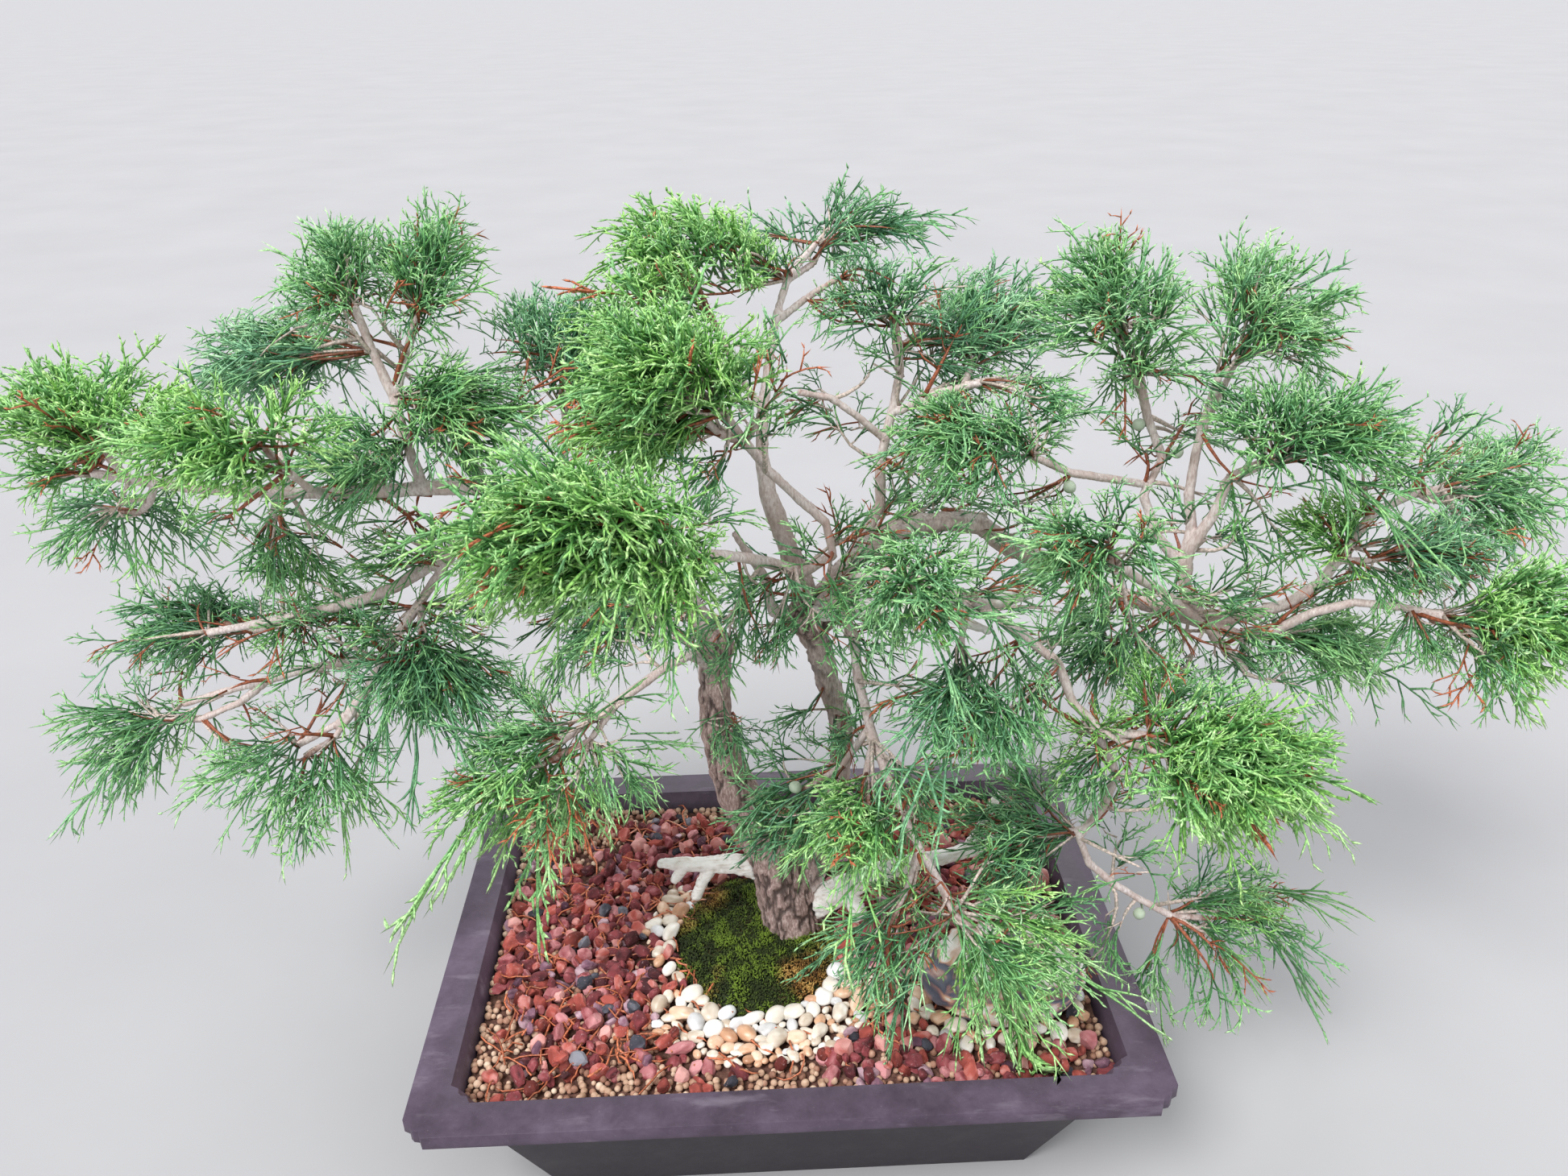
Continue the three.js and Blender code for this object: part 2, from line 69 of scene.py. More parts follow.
# Places and sizes below are in millimetres unless a name says otherwise.
BARK_NODES = (
    "trunk", "leader_stem", "right_centre_branch", "arch_branch", "right_rising_branch",
    "right_outer_branch", "left_branch", "left_lower_branch", "low_left_twig", "front_branch",
    "low_right_branch", "low_front_branch",
)
THICK_NODES = BARK_NODES[:2]
DEADWOOD_NODES = ("left_deadwood", "right_deadwood", "upper_deadwood")
FOLIAGE_NODES = [
    row["node"] for row in frame["record"]["subparts"] if row["material_slot"] == "foliage"
]

# A foliage mass's look: how bright, yellowish and dense it is, whether its sprays rise or hang, and, where it
# differs, how long they are and how much of its box they fill.
BRIGHT = {"bright": 0.11, "warm": 0.75, "lift": 0.10, "density": 0.74}
MIDDLE = {"bright": 0.03, "warm": 0.42, "lift": 0.05, "density": 0.56}
BLUISH = {"bright": 0.04, "warm": 0.12, "lift": 0.1, "density": 0.6}
# Masses that lie in shade are darker all through: painted shade.
SHADED = {"bright": -0.08, "warm": 0.3, "lift": -0.05, "density": 0.5}
THIN = {**SHADED, "density": 0.28}
FAN = {"bright": 0.08, "warm": 0.4, "lift": 0.12, "density": 0.6}
HANGING = {"bright": -0.02, "warm": 0.45, "lift": -0.12, "density": 0.19, "long": 1.2, "size": 0.88}
HANGING_BRIGHT = {"bright": 0.12, "warm": 0.65, "lift": -0.12, "density": 0.48}
SPARSE = {**HANGING_BRIGHT, "density": 0.22, "long": 1.3, "size": 0.9}
FOLIAGE_LOOKS = {
    "top": {**SHADED, "density": 0.4},
    "low_bright": HANGING_BRIGHT,
    "over_rock": SPARSE,
    "low_left_front": {**SPARSE, "lift": 0.0, "density": 0.24, "size": 0.8},
}
for look, names in (
    (BRIGHT, ("left_bright", "front_centre", "upper_streak", "upper_bright", "right_bright",
              "far_right_bright", "far_left_tip")),
    (FAN, ("fan_left", "fan_right", "right_fan_left", "right_fan_right")),
    (BLUISH, ("right_blue", "upper_left_back", "left_shoulder", "top_front", "upper_right")),
    (HANGING, ("hanging", "low_left_tip", "low_left_mid", "far_left_under", "left_under")),
    (THIN, ("trunk_dark", "low_front")),
    (SHADED, ("centre_dark", "right_shade", "left_drop", "centre_right", "left_near")),
):
    FOLIAGE_LOOKS.update(dict.fromkeys(names, look))


# ---------------------------------------------------------------- numbers

def value_noise(points, scale, seed=0):
    """Smooth noise from 0 to 1 at each point, with lumps about scale across."""
    place = points / scale + 37.3 * (seed + 1)
    cell = np.floor(place).astype(np.int64)
    part = place - cell
    part = part * part * (3 - 2 * part)
    total = np.zeros(len(points))
    for corner in range(8):
        step = np.array([corner & 1, corner >> 1 & 1, corner >> 2 & 1])
        key = (cell + step) @ np.array([73856093, 19349663, 83492791])
        key = (key ^ (key >> 13)) * 1274126177 & 0x7FFFFFFF
        weight = np.prod(np.where(step, part, 1 - part), axis=1)
        total += weight * ((key ^ (key >> 16)) & 0xFFFF) / 0xFFFF
    return total


def layered_noise(points, scale, seed=0, layers=3):
    total = sum(value_noise(points, scale / 2**i, seed + i) / 2**i for i in range(layers))
    return total / (2 - 2 ** (1 - layers))


def unit(vectors):
    vectors = np.asarray(vectors, float)
    return vectors / np.maximum(np.linalg.norm(vectors, axis=-1, keepdims=True), 1e-9)


def axes_along(direction, roll, facing=None):
    """A rotation whose first axis is the direction, turned about it by roll from where it faces."""
    first = unit(direction)
    helper = (0, 0, 1) if facing is None else unit(facing)
    if abs(first @ helper) > 0.95:
        helper = (1, 0, 0) if abs(first[0]) < 0.8 else (0, 1, 0)
    second = unit(np.cross(helper, first))
    third = np.cross(first, second)
    turned = math.cos(roll) * second + math.sin(roll) * third
    return np.stack([first, turned, np.cross(first, turned)], axis=1)


def curved_path(start, end, lift, count):
    """Points on a smooth arc between two places, bowed by the vector lift."""
    t = np.linspace(0, 1, count)[:, None]
    return start + (end - start) * t + 4 * t * (1 - t) * lift


def with_zero(place):
    """Places on the ground as points in space, at height zero."""
    return np.concatenate([place, np.zeros((len(place), 1))], axis=1)


# ---------------------------------------------------------------- meshes

def new_object(name, data):
    made = bpy.data.objects.new(name, data)
    bpy.context.scene.collection.objects.link(made)
    return made


def set_palette(mesh, palette):
    attribute = mesh.attributes.new("palette", "FLOAT2", "POINT")
    attribute.data.foreach_set("vector", palette.ravel())


def set_points(mesh, points):
    mesh.vertices.foreach_set("co", (points * MM).astype(np.float32).ravel())
    mesh.update()


def mesh_arrays(mesh):
    """A mesh's points, in millimetres, and its normals."""
    points = np.empty(len(mesh.vertices) * 3, np.float32)
    mesh.vertices.foreach_get("co", points)
    normals = np.empty(len(mesh.vertices) * 3, np.float32)
    mesh.vertex_normals.foreach_get("vector", normals)
    return points.reshape(-1, 3).astype(float) / MM, normals.reshape(-1, 3).astype(float)


def mesh_object(name, points, triangles, palette=None, smooth=True):
    """A mesh from arrays in millimetres. Its palette is two numbers for each point, for its material."""
    mesh = bpy.data.meshes.new(name)
    points = np.asarray(points, np.float32) * MM
    triangles = np.asarray(triangles, np.int32)
    mesh.vertices.add(len(points))
    mesh.vertices.foreach_set("co", points.ravel())
    mesh.loops.add(triangles.size)
    mesh.loops.foreach_set("vertex_index", triangles.ravel())
    mesh.polygons.add(len(triangles))
    mesh.polygons.foreach_set("loop_start", np.arange(0, triangles.size, 3, dtype=np.int32))
    mesh.polygons.foreach_set("use_smooth", np.full(len(triangles), smooth))
    if palette is not None:
        palette = np.clip(palette, 0.01, 0.99).astype(np.float32)
        set_palette(mesh, palette)
        layer = mesh.uv_layers.new(name="OFBake", do_init=False)
        layer.uv.foreach_set("vector", palette[triangles.ravel()].ravel())
    mesh.update(calc_edges=True)
    return new_object(name, mesh)


def finish_piece(piece, material, nodes=()):
    piece.data.materials.clear()
    piece.data.materials.append(MATERIALS[material])
    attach(piece, "root")
    if nodes:
        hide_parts(*nodes)
    return piece


def node_points(node):
    return mesh_arrays(frame["nodes"][node].data)[0]


def box_mm(node):
    low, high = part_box(node)
    return np.array(low) / MM, np.array(high) / MM


class Strands:
    """Collects thin tapered tubes, and other small shapes, into one mesh."""

    def __init__(self):
        self.points, self.triangles, self.palette, self.count = [], [], [], 0

    def tube(self, path, radii, tones, kind, sides=3):
        path = np.asarray(path, float)
        along = unit(np.gradient(path, axis=0))
        helper = np.array([0.0, 0.0, 1.0]) if abs(along[0, 2]) < 0.9 else np.array([1.0, 0, 0])
        across = unit(np.cross(along, helper))
        over = np.cross(along, across)
        turn = np.arange(sides) * 2 * math.pi / sides
        rings = len(path) - 1
        ring = (across[:rings, None] * np.cos(turn)[None, :, None]
                + over[:rings, None] * np.sin(turn)[None, :, None])
        ring = path[:rings, None] + ring * np.asarray(radii)[:rings, None, None]
        points = np.concatenate([ring.reshape(-1, 3), path[-1:]])
        shades = np.concatenate([np.repeat(np.asarray(tones)[:rings], sides), [tones[-1]]])
        kinds = kind + 0.008 * np.concatenate([np.tile(np.arange(sides), rings), [0.5]])
        triangles = []
        for level in range(rings - 1):
            for side in range(sides):
                a = level * sides + side
                b = level * sides + (side + 1) % sides
                triangles += [[a, b, b + sides], [a, b + sides, a + sides]]
        last, tip = (rings - 1) * sides, rings * sides
        triangles += [[last + side, last + (side + 1) % sides, tip] for side in range(sides)]
        triangles += [[0, side + 1, side] for side in range(1, sides - 1)]
        self.add(points, np.array(triangles), np.stack([shades, kinds], axis=1))

    def add(self, points, triangles, palette):
        self.points.append(points)
        self.triangles.append(triangles + self.count)
        self.palette.append(palette)
        self.count += len(points)

    def arrays(self):
        return np.concatenate(self.points), np.concatenate(self.triangles), np.concatenate(self.palette)

    def finish(self, name, material, slot, nodes=(), smooth=True):
        finish_piece(mesh_object(name, *self.arrays(), smooth=smooth), material, nodes)


# ---------------------------------------------------------------- materials

def new_material(name, roughness=0.5):
    material = bpy.data.materials.new(name)
    material.use_nodes = True
    tree = material.node_tree
    shader = tree.nodes["Principled BSDF"]
    shader.inputs["Roughness"].default_value = roughness
    return material, tree, shader


def link(tree, output, target):
    tree.links.new(output, target)


def ramp(tree, factor, stops):
    node = tree.nodes.new("ShaderNodeValToRGB")
    elements = node.color_ramp.elements
    while len(elements) > 1:
        elements.remove(elements[-1])
    elements[0].position, elements[0].color = stops[0][0], (*stops[0][1], 1)
    for position, color in stops[1:]:
        elements.new(position).color = (*color, 1)
    link(tree, factor, node.inputs["Fac"])
    return node.outputs["Color"]


def mask(tree, factor, start, end, high=1.0, low=0.0):
    """Grey that goes from low to high while the factor goes from start to end."""
    return ramp(tree, factor, [(start, (low,) * 3), (end, (high,) * 3)])


def mix(tree, factor, first, second, blend="MIX"):
    node = tree.nodes.new("ShaderNodeMix")
    node.data_type = "RGBA"
    node.blend_type = blend
    for value, socket in ((factor, node.inputs[0]), (first, node.inputs[6]), (second, node.inputs[7])):
        if isinstance(value, bpy.types.NodeSocket):
            link(tree, value, socket)
        elif socket.type == "VALUE":
            socket.default_value = value
        else:
            socket.default_value = (*value, 1)
    return node.outputs[2]


def math_node(tree, operation, *values):
    node = tree.nodes.new("ShaderNodeMath")
    node.operation = operation
    for value, socket in zip(values, node.inputs):
        if isinstance(value, bpy.types.NodeSocket):
            link(tree, value, socket)
        else:
            socket.default_value = value
    return node.outputs[0]


def noise_node(tree, scale, detail=6, roughness=0.6, stretch=(1, 1, 1), distortion=0.0):
    """Noise in object space: scale is in lumps per metre."""
    coordinates = tree.nodes.new("ShaderNodeTexCoord")
    mapping = tree.nodes.new("ShaderNodeMapping")
    mapping.inputs["Scale"].default_value = stretch
    link(tree, coordinates.outputs["Object"], mapping.inputs["Vector"])
    node = tree.nodes.new("ShaderNodeTexNoise")
    node.inputs["Scale"].default_value = scale
    node.inputs["Detail"].default_value = detail
    node.inputs["Roughness"].default_value = roughness
    node.inputs["Distortion"].default_value = distortion
    link(tree, mapping.outputs["Vector"], node.inputs["Vector"])
    return node.outputs["Fac"]


def bump(tree, shader, height, distance, strength=1.0):
    node = tree.nodes.new("ShaderNodeBump")
    node.inputs["Distance"].default_value = distance
    node.inputs["Strength"].default_value = strength
    link(tree, height, node.inputs["Height"])
    link(tree, node.outputs["Normal"], shader.inputs["Normal"])


def attribute_node(tree, name):
    node = tree.nodes.new("ShaderNodeAttribute")
    node.attribute_name = name
    return node


def palette_sockets(tree):
    split = tree.nodes.new("ShaderNodeSeparateXYZ")
    link(tree, attribute_node(tree, "palette").outputs["Vector"], split.inputs[0])
    return split.outputs[0], split.outputs[1]


# Foliage's palette rows: cool to warm green up to the first, and dead wood and threads from the second.
LIVING_ROWS = 0.8
DEAD_FROM = 0.86
DEAD_ROW = 0.93


def foliage_material():
    material, tree, shader = new_material("juniper_foliage", 0.42)
    tone, row = palette_sockets(tree)
    cool = ramp(tree, tone, [
        (0.0, (0.02, 0.07, 0.038)), (0.3, (0.06, 0.19, 0.105)), (0.6, (0.15, 0.37, 0.215)),
        (0.85, (0.29, 0.57, 0.33)), (1.0, (0.52, 0.80, 0.50))])
    warm = ramp(tree, tone, [
        (0.0, (0.022, 0.08, 0.018)), (0.3, (0.07, 0.23, 0.045)), (0.6, (0.18, 0.45, 0.10)),
        (0.85, (0.34, 0.66, 0.15)), (1.0, (0.56, 0.86, 0.33))])
    dead = ramp(tree, tone, [
        (0.0, (0.12, 0.05, 0.03)), (0.45, (0.34, 0.10, 0.05)), (0.8, (0.62, 0.19, 0.09)),
        (0.95, (0.58, 0.48, 0.43))])
    living = mix(tree, math_node(tree, "DIVIDE", row, LIVING_ROWS), cool, warm)
    shade = mix(tree, math_node(tree, "GREATER_THAN", row, DEAD_FROM), living, dead)
    # A fine mottle on the threads: partly their own uneven tone, partly painted glints and painted shade of
    # their scale leaves.
    scale_mottle_and_painted_glints = ramp(tree, noise_node(tree, 800, detail=1), [
        (0.36, (0.62, 0.66, 0.62)), (0.62, (1.3, 1.25, 1.25))])
    link(tree, mix(tree, 1.0, shade, scale_mottle_and_painted_glints, "MULTIPLY"), shader.inputs["Base Color"])
    shader.inputs["Specular IOR Level"].default_value = 0.45
    return material


def stone_material(name, rows, roughness, dust=0.0):
    """Stones whose palette row picks a colour ramp: rows is a list of (row limit, dark, middle, light)."""
    material, tree, shader = new_material(name, roughness)
    tone, row = palette_sockets(tree)
    color = None
    for limit, dark, middle, light in rows:
        shade = ramp(tree, tone, [(0.0, dark), (0.5, middle), (1.0, light)])
        if color is None:
            color = shade
        else:
            color = mix(tree, math_node(tree, "GREATER_THAN", row, limit), color, shade)
    if dust:
        speck = mask(tree, noise_node(tree, 650, detail=4), 0.6, 0.72, dust)
        color = mix(tree, speck, color, (0.66, 0.44, 0.44))
    link(tree, color, shader.inputs["Base Color"])
    return material


def bark_material():
    """Old wood is cracked and grey brown, younger wood pale and pinkish, and twigs reddish brown."""
    material, tree, shader = new_material("juniper_bark", 0.75)
    girth = attribute_node(tree, "girth").outputs["Fac"]
    fine = noise_node(tree, 900, stretch=(1, 1, 0.35))
    old = ramp(tree, fine, [
        (0.25, (0.13, 0.075, 0.065)), (0.5, (0.42, 0.29, 0.265)), (0.75, (0.76, 0.62, 0.58))])
    young = ramp(tree, fine, [
        (0.25, (0.38, 0.28, 0.26)), (0.5, (0.68, 0.58, 0.56)), (0.75, (0.88, 0.82, 0.80))])
    twig = ramp(tree, fine, [(0.3, (0.14, 0.05, 0.03)), (0.7, (0.36, 0.16, 0.10))])
    red = mask(tree, noise_node(tree, 60), 0.4, 0.65)
    young = mix(tree, math_node(tree, "MULTIPLY", red, 0.5), young, (0.42, 0.26, 0.21))
    wood = mix(tree, mask(tree, girth, 0.22, 0.42), young, old)
    wood = mix(tree, mask(tree, girth, 0.025, 0.04, high=0.0, low=1.0), wood, twig)
    # Cracks are painted near black: partly the darker wood in the fissures, partly painted shade in them.
    wood = mix(tree, attribute_node(tree, "crack").outputs["Fac"], wood, (0.03, 0.018, 0.014))
    link(tree, wood, shader.inputs["Base Color"])
    bump(tree, shader, noise_node(tree, 1400, stretch=(1, 1, 0.3)), 0.0005, 0.7)
    return material


def deadwood_material():
    material, tree, shader = new_material("bleached_deadwood", 0.7)
    grain = noise_node(tree, 500, stretch=(0.25, 1, 1), detail=8)
    pale = ramp(tree, grain, [
        (0.3, (0.62, 0.55, 0.48)), (0.48, (0.90, 0.87, 0.83)), (0.75, (0.97, 0.96, 0.94))])
    wood = mix(tree, mask(tree, noise_node(tree, 70), 0.58, 0.78, 0.6), pale, (0.58, 0.46, 0.36))
    link(tree, wood, shader.inputs["Base Color"])
    bump(tree, shader, grain, 0.0006, 0.6)
    return material


def pot_material():
    """Moulded charcoal plastic, faded, dusty and scuffed on its rim, with the walls below it painted darker
    as painted shade.
    """
    material, tree, shader = new_material("charcoal_plastic")
    cloud = noise_node(tree, 22, detail=12, roughness=0.72)
    faded = ramp(tree, cloud, [
        (0.32, (0.036, 0.022, 0.038)), (0.5, (0.074, 0.050, 0.080)), (0.7, (0.125, 0.090, 0.138))])
    # The walls below the rim: unfaded plastic, darkened much further as painted shade under the rim.
    painted_shade_wall = ramp(tree, cloud, [(0.3, (0.009, 0.005, 0.010)), (0.7, (0.022, 0.013, 0.024))])
    height = tree.nodes.new("ShaderNodeSeparateXYZ")
    link(tree, tree.nodes.new("ShaderNodeTexCoord").outputs["Object"], height.inputs[0])
    # This mask picks the rim by its height; below it the walls get the painted shade.
    rim_height_mask = mask(tree, math_node(tree, "MULTIPLY", height.outputs["Z"], 10), 0.86, 0.94)
    base = mix(tree, rim_height_mask, painted_shade_wall, faded)
    dust = mask(tree, noise_node(tree, 700, detail=3), 0.66, 0.74, 0.35)
    base = mix(tree, math_node(tree, "MULTIPLY", dust, rim_height_mask), base, (0.25, 0.22, 0.22))
    scuff = mask(tree, noise_node(tree, 60, detail=10, stretch=(0.3, 1, 1)), 0.57, 0.7, 0.55)
    base = mix(tree, math_node(tree, "MULTIPLY", scuff, rim_height_mask), base, (0.23, 0.19, 0.24))
    link(tree, base, shader.inputs["Base Color"])
    link(tree, mask(tree, cloud, 0.3, 0.7, high=0.6, low=0.42), shader.inputs["Roughness"])
    bump(tree, shader, noise_node(tree, 1500, detail=2), 0.0002, 0.4)
    return material


def earth_material(name, dark, light):
    material, tree, shader = new_material(name, 0.9)
    color = ramp(tree, noise_node(tree, 350, detail=8), [(0.3, dark), (0.7, light)])
    link(tree, color, shader.inputs["Base Color"])
    bump(tree, shader, noise_node(tree, 600), 0.001)
    return material


def moss_material():
    material, tree, shader = new_material("moss", 0.8)
    tone, row = palette_sockets(tree)
    green = ramp(tree, tone, [
        (0.0, (0.010, 0.016, 0.001)), (0.5, (0.034, 0.058, 0.005)), (1.0, (0.16, 0.25, 0.02))])
    tan = ramp(tree, tone, [
        (0.0, (0.035, 0.014, 0.003)), (0.5, (0.24, 0.11, 0.02)), (1.0, (0.55, 0.33, 0.10))])
    link(tree, mix(tree, row, green, tan), shader.inputs["Base Color"])
    return material


def banded_rock_material():
    material, tree, shader = new_material("banded_rock", 0.5)
    layers = noise_node(tree, 26, detail=3, roughness=0.45, stretch=(1, 0.8, 1.6), distortion=1.0)
    bands = ramp(tree, layers, [
        (0.34, (0.94, 0.92, 0.89)), (0.40, (0.90, 0.84, 0.78)), (0.43, (0.74, 0.44, 0.28)),
        (0.46, (0.36, 0.20, 0.20)), (0.49, (0.10, 0.11, 0.16)), (0.55, (0.19, 0.20, 0.26)),
        (0.58, (0.62, 0.38, 0.34)), (0.62, (0.90, 0.85, 0.80)), (0.70, (0.94, 0.92, 0.89))])
    rust = mask(tree, noise_node(tree, 55), 0.56, 0.68, 0.7)
    link(tree, mix(tree, rust, bands, (0.58, 0.33, 0.21)), shader.inputs["Base Color"])
    bump(tree, shader, noise_node(tree, 400), 0.0008, 0.6)
    return material


MATERIALS = {
    "foliage": foliage_material(),
    "bark": bark_material(),
    "deadwood": deadwood_material(),
    "pot": pot_material(),
    "soil": earth_material("potting_soil", (0.02, 0.012, 0.008), (0.07, 0.045, 0.03)),
    "bed": earth_material("gravel_dust", (0.07, 0.025, 0.018), (0.22, 0.11, 0.08)),
    "moss": moss_material(),
    "rock": banded_rock_material(),
    "lava": stone_material("lava_gravel", [
        (0.0, (0.045, 0.007, 0.010), (0.27, 0.052, 0.060), (0.66, 0.30, 0.31)),
        (0.35, (0.10, 0.012, 0.008), (0.42, 0.085, 0.065), (0.74, 0.38, 0.35)),
        (0.62, (0.07, 0.025, 0.045), (0.25, 0.12, 0.17), (0.60, 0.42, 0.47)),
        (0.88, (0.012, 0.012, 0.018), (0.055, 0.055, 0.075), (0.24, 0.24, 0.28)),
    ], 0.85, dust=0.4),
    "grit": stone_material("round_grit", [
        (0.0, (0.28, 0.15, 0.09), (0.56, 0.36, 0.25), (0.78, 0.62, 0.48)),
        (0.5, (0.16, 0.07, 0.045), (0.36, 0.18, 0.12), (0.58, 0.36, 0.26)),
    ], 0.7),
    "pebble": stone_material("river_pebbles", [
        (0.0, (0.52, 0.40, 0.30), (0.80, 0.72, 0.62), (0.93, 0.90, 0.86)),
        (0.45, (0.42, 0.20, 0.11), (0.68, 0.40, 0.25), (0.86, 0.66, 0.50)),
        (0.8, (0.45, 0.43, 0.42), (0.70, 0.69, 0.70), (0.90, 0.90, 0.92)),
    ], 0.35),
    "berry": stone_material("berry_skin", [
        (0.0, (0.10, 0.13, 0.08), (0.27, 0.34, 0.22), (0.52, 0.60, 0.48)),
    ], 0.55),
    "red_stone": stone_material("red_stone", [
        (0.0, (0.16, 0.03, 0.03), (0.42, 0.14, 0.12), (0.72, 0.50, 0.46)),
    ], 0.6),
}


# ---------------------------------------------------------------- pot and soil

def make_pot():
    """The pot keeps its CAD shape, with every edge softened."""
    piece = new_object("pot_shell", frame["nodes"]["pot"].data.copy())
    shape = bmesh.new()
    shape.from_mesh(piece.data)
    bmesh.ops.remove_doubles(shape, verts=shape.verts, dist=1e-5)
    bmesh.ops.dissolve_limit(shape, angle_limit=math.radians(2), verts=shape.verts, edges=shape.edges)
    shape.to_mesh(piece.data)
    shape.free()
    soften = piece.modifiers.new("soften", "BEVEL")
    soften.width = 0.9 * MM
    soften.segments = 3
    soften.limit_method = "ANGLE"
    soften.angle_limit = math.radians(25)
    apply_modifiers(piece)
    piece.data.shade_smooth()
    piece.data.set_sharp_from_angle(angle=math.radians(40))
    finish_piece(piece, "pot", ["pot"])


def apply_modifiers(piece):
    made = piece.evaluated_get(bpy.context.evaluated_depsgraph_get())
    mesh = bpy.data.meshes.new_from_object(made)
    piece.modifiers.clear()
    piece.data = mesh


def ball(subdivisions):
    shape = bmesh.new()
    bmesh.ops.create_icosphere(shape, subdivisions=subdivisions, radius=1)
    shape.verts.ensure_lookup_table()
    points = np.array([v.co for v in shape.verts])
    triangles = np.array([[v.index for v in f.verts] for f in shape.faces])
    shape.free()
    return points, triangles


def stone_shape(rng, subdivisions, lumpiness, cuts, depth):
    """A unit stone: a lumpy ball with some flat faces knocked off. Gives points, triangles and tones."""
    points, triangles = ball(subdivisions)
    shift = rng.uniform(0, 100, 3)
    swell = 1 + lumpiness * (2 * layered_noise(points + shift, 1.1) - 1)
    shaped = points * swell[:, None]
    for _ in range(cuts):
        way = unit(rng.normal(size=3))
        limit = rng.uniform(1 - depth, 0.95)
        over = np.maximum(shaped @ way - limit, 0)
        shaped = shaped - over[:, None] * way
    tones = 0.5 + 0.9 * (layered_noise(points + shift + 9, 0.55, seed=5) - 0.5)
    pits = layered_noise(points + shift, 0.35, seed=8)
    return shaped, triangles, tones - 0.35 * np.clip(pits - 0.55, 0, 1) * 3 * (lumpiness > 0.2)


class Stones(Strands):
    """Places many copies of a few stone shapes in one mesh."""

    def place(self, shape, centre, sizes, spin, tone, row):
        points, triangles, tones = shape
        rows = row + 0.02 * (points[:, 0] + 0.5 * points[:, 1])
        palette = np.stack([tones + tone, rows], axis=1)
        self.add((points * sizes) @ spin.T + centre, triangles, palette)


def pick_row(rng, choices):
    """The palette row of the first choice whose limit is over a random number."""
    pick = rng.uniform()
    return next(row for limit, row in choices if pick < limit)


def random_spin(rng):
    return axes_along(rng.normal(size=3), rng.uniform(0, 2 * math.pi))


def oval_of(node):
    """The middle and the half size of a node, seen from above."""
    low, high = box_mm(node)
    return (low + high)[:2] / 2, (high - low)[:2] / 2


BED_LOW, BED_HIGH = box_mm("gravel_layer")
BED_Z = BED_HIGH[2]
BED_HALF = np.array([BED_HIGH[0] - 1.5, BED_HIGH[1] - 1.5])
MOSS_MIDDLE, MOSS_HALF = oval_of("moss_patch")
MOSS_HEIGHT = box_mm("moss_patch")[1][2] - BED_Z
ROCK_MIDDLE, ROCK_HALF = oval_of("striped_rock")


def in_oval(place, middle, half, grow=0.0):
    return np.sum(((place - middle) / (half + grow)) ** 2, axis=-1) < 1


def bed_height(place):
    """Height of the dressing's top: a little uneven, and mounded towards the tree."""
    mound = 2.0 * np.exp(-np.sum((place / [90, 80]) ** 2, axis=1))
    return BED_Z - 2.5 + 3.0 * (layered_noise(with_zero(place), 45, seed=2) - 0.5) + mound


def jittered_grid(rng, spacing, half, jitter=0.42):
    counts = np.floor(2 * half / spacing).astype(int)
    grid = np.stack(np.meshgrid(*[np.linspace(-h, h, c) for h, c in zip(half, counts)]), -1).reshape(-1, 2)
    place = grid + rng.uniform(-jitter, jitter, grid.shape) * spacing
    return np.clip(place, -half, half)


# Patches of grit along the left side and the front: middle as a share of the bed's half size, and reach.
GRIT_PATCHES = (
    ((-0.86, 0.8), (32, 34)), ((-0.96, -0.7), (13, 24)), ((-0.12, -0.92), (40, 6)), ((-0.66, -0.94), (26, 5)),
)


def gritty(place):
    """How much of the dressing is fine round grit, from 0 to 1: most of it near the pot's walls."""
    edge = np.min(BED_HALF - np.abs(place), axis=1)
    share = np.clip(0.95 - edge / 30, 0, 1) + 2.2 * (layered_noise(with_zero(place), 38, seed=6) - 0.55)
    patches = sum(np.exp(-np.sum(((place - middle * BED_HALF) / reach) ** 2, axis=1))
                  for middle, reach in GRIT_PATCHES)
    return np.clip(share + 1.1 * patches, 0, 1)


def make_bed():
    counts = (130, 95)
    axes = [np.linspace(-h - 1.2, h + 1.2, c) for h, c in zip(BED_HALF, counts)]
    place = np.stack(np.meshgrid(*axes, indexing="ij"), -1).reshape(-1, 2)
    height = bed_height(place) - 1.5 + 1.6 * (layered_noise(with_zero(place), 6, seed=3) - 0.5)
    points = np.concatenate([place, height[:, None]], axis=1)
    index = np.arange(len(points)).reshape(counts)
    a, b, c, d = index[:-1, :-1], index[1:, :-1], index[1:, 1:], index[:-1, 1:]
    triangles = [np.stack([a, b, c], -1).reshape(-1, 3), np.stack([a, c, d], -1).reshape(-1, 3)]
    # A skirt and an underside close the sheet.
    rim = np.concatenate([index[:, 0], index[-1, 1:], index[-2::-1, -1], index[0, -2:0:-1]])
    below = points[rim].copy()
    below[:, 2] = BED_LOW[2]
    lower = len(points) + np.arange(len(rim))
    after = np.roll(np.arange(len(rim)), -1)
    middle = len(points) + len(rim)
    triangles += [
        np.stack([rim, lower, lower[after]], -1), np.stack([rim, lower[after], rim[after]], -1),
        np.stack([lower, np.full(len(rim), middle), lower[after]], -1),
    ]
    points = np.concatenate([points, below, [[0, 0, BED_LOW[2]]]])
    piece = mesh_object("dressing_bed", points, np.concatenate(triangles))
    finish_piece(piece, "bed", ["gravel_layer"])


def keep_clear(place, moss_grow=0.0):
    """Whether a stone may lie here: not in the moss, nor well under the rock."""
    taken = in_oval(place, MOSS_MIDDLE, MOSS_HALF, moss_grow) | in_oval(place, ROCK_MIDDLE, ROCK_HALF, -6)
    return ~taken


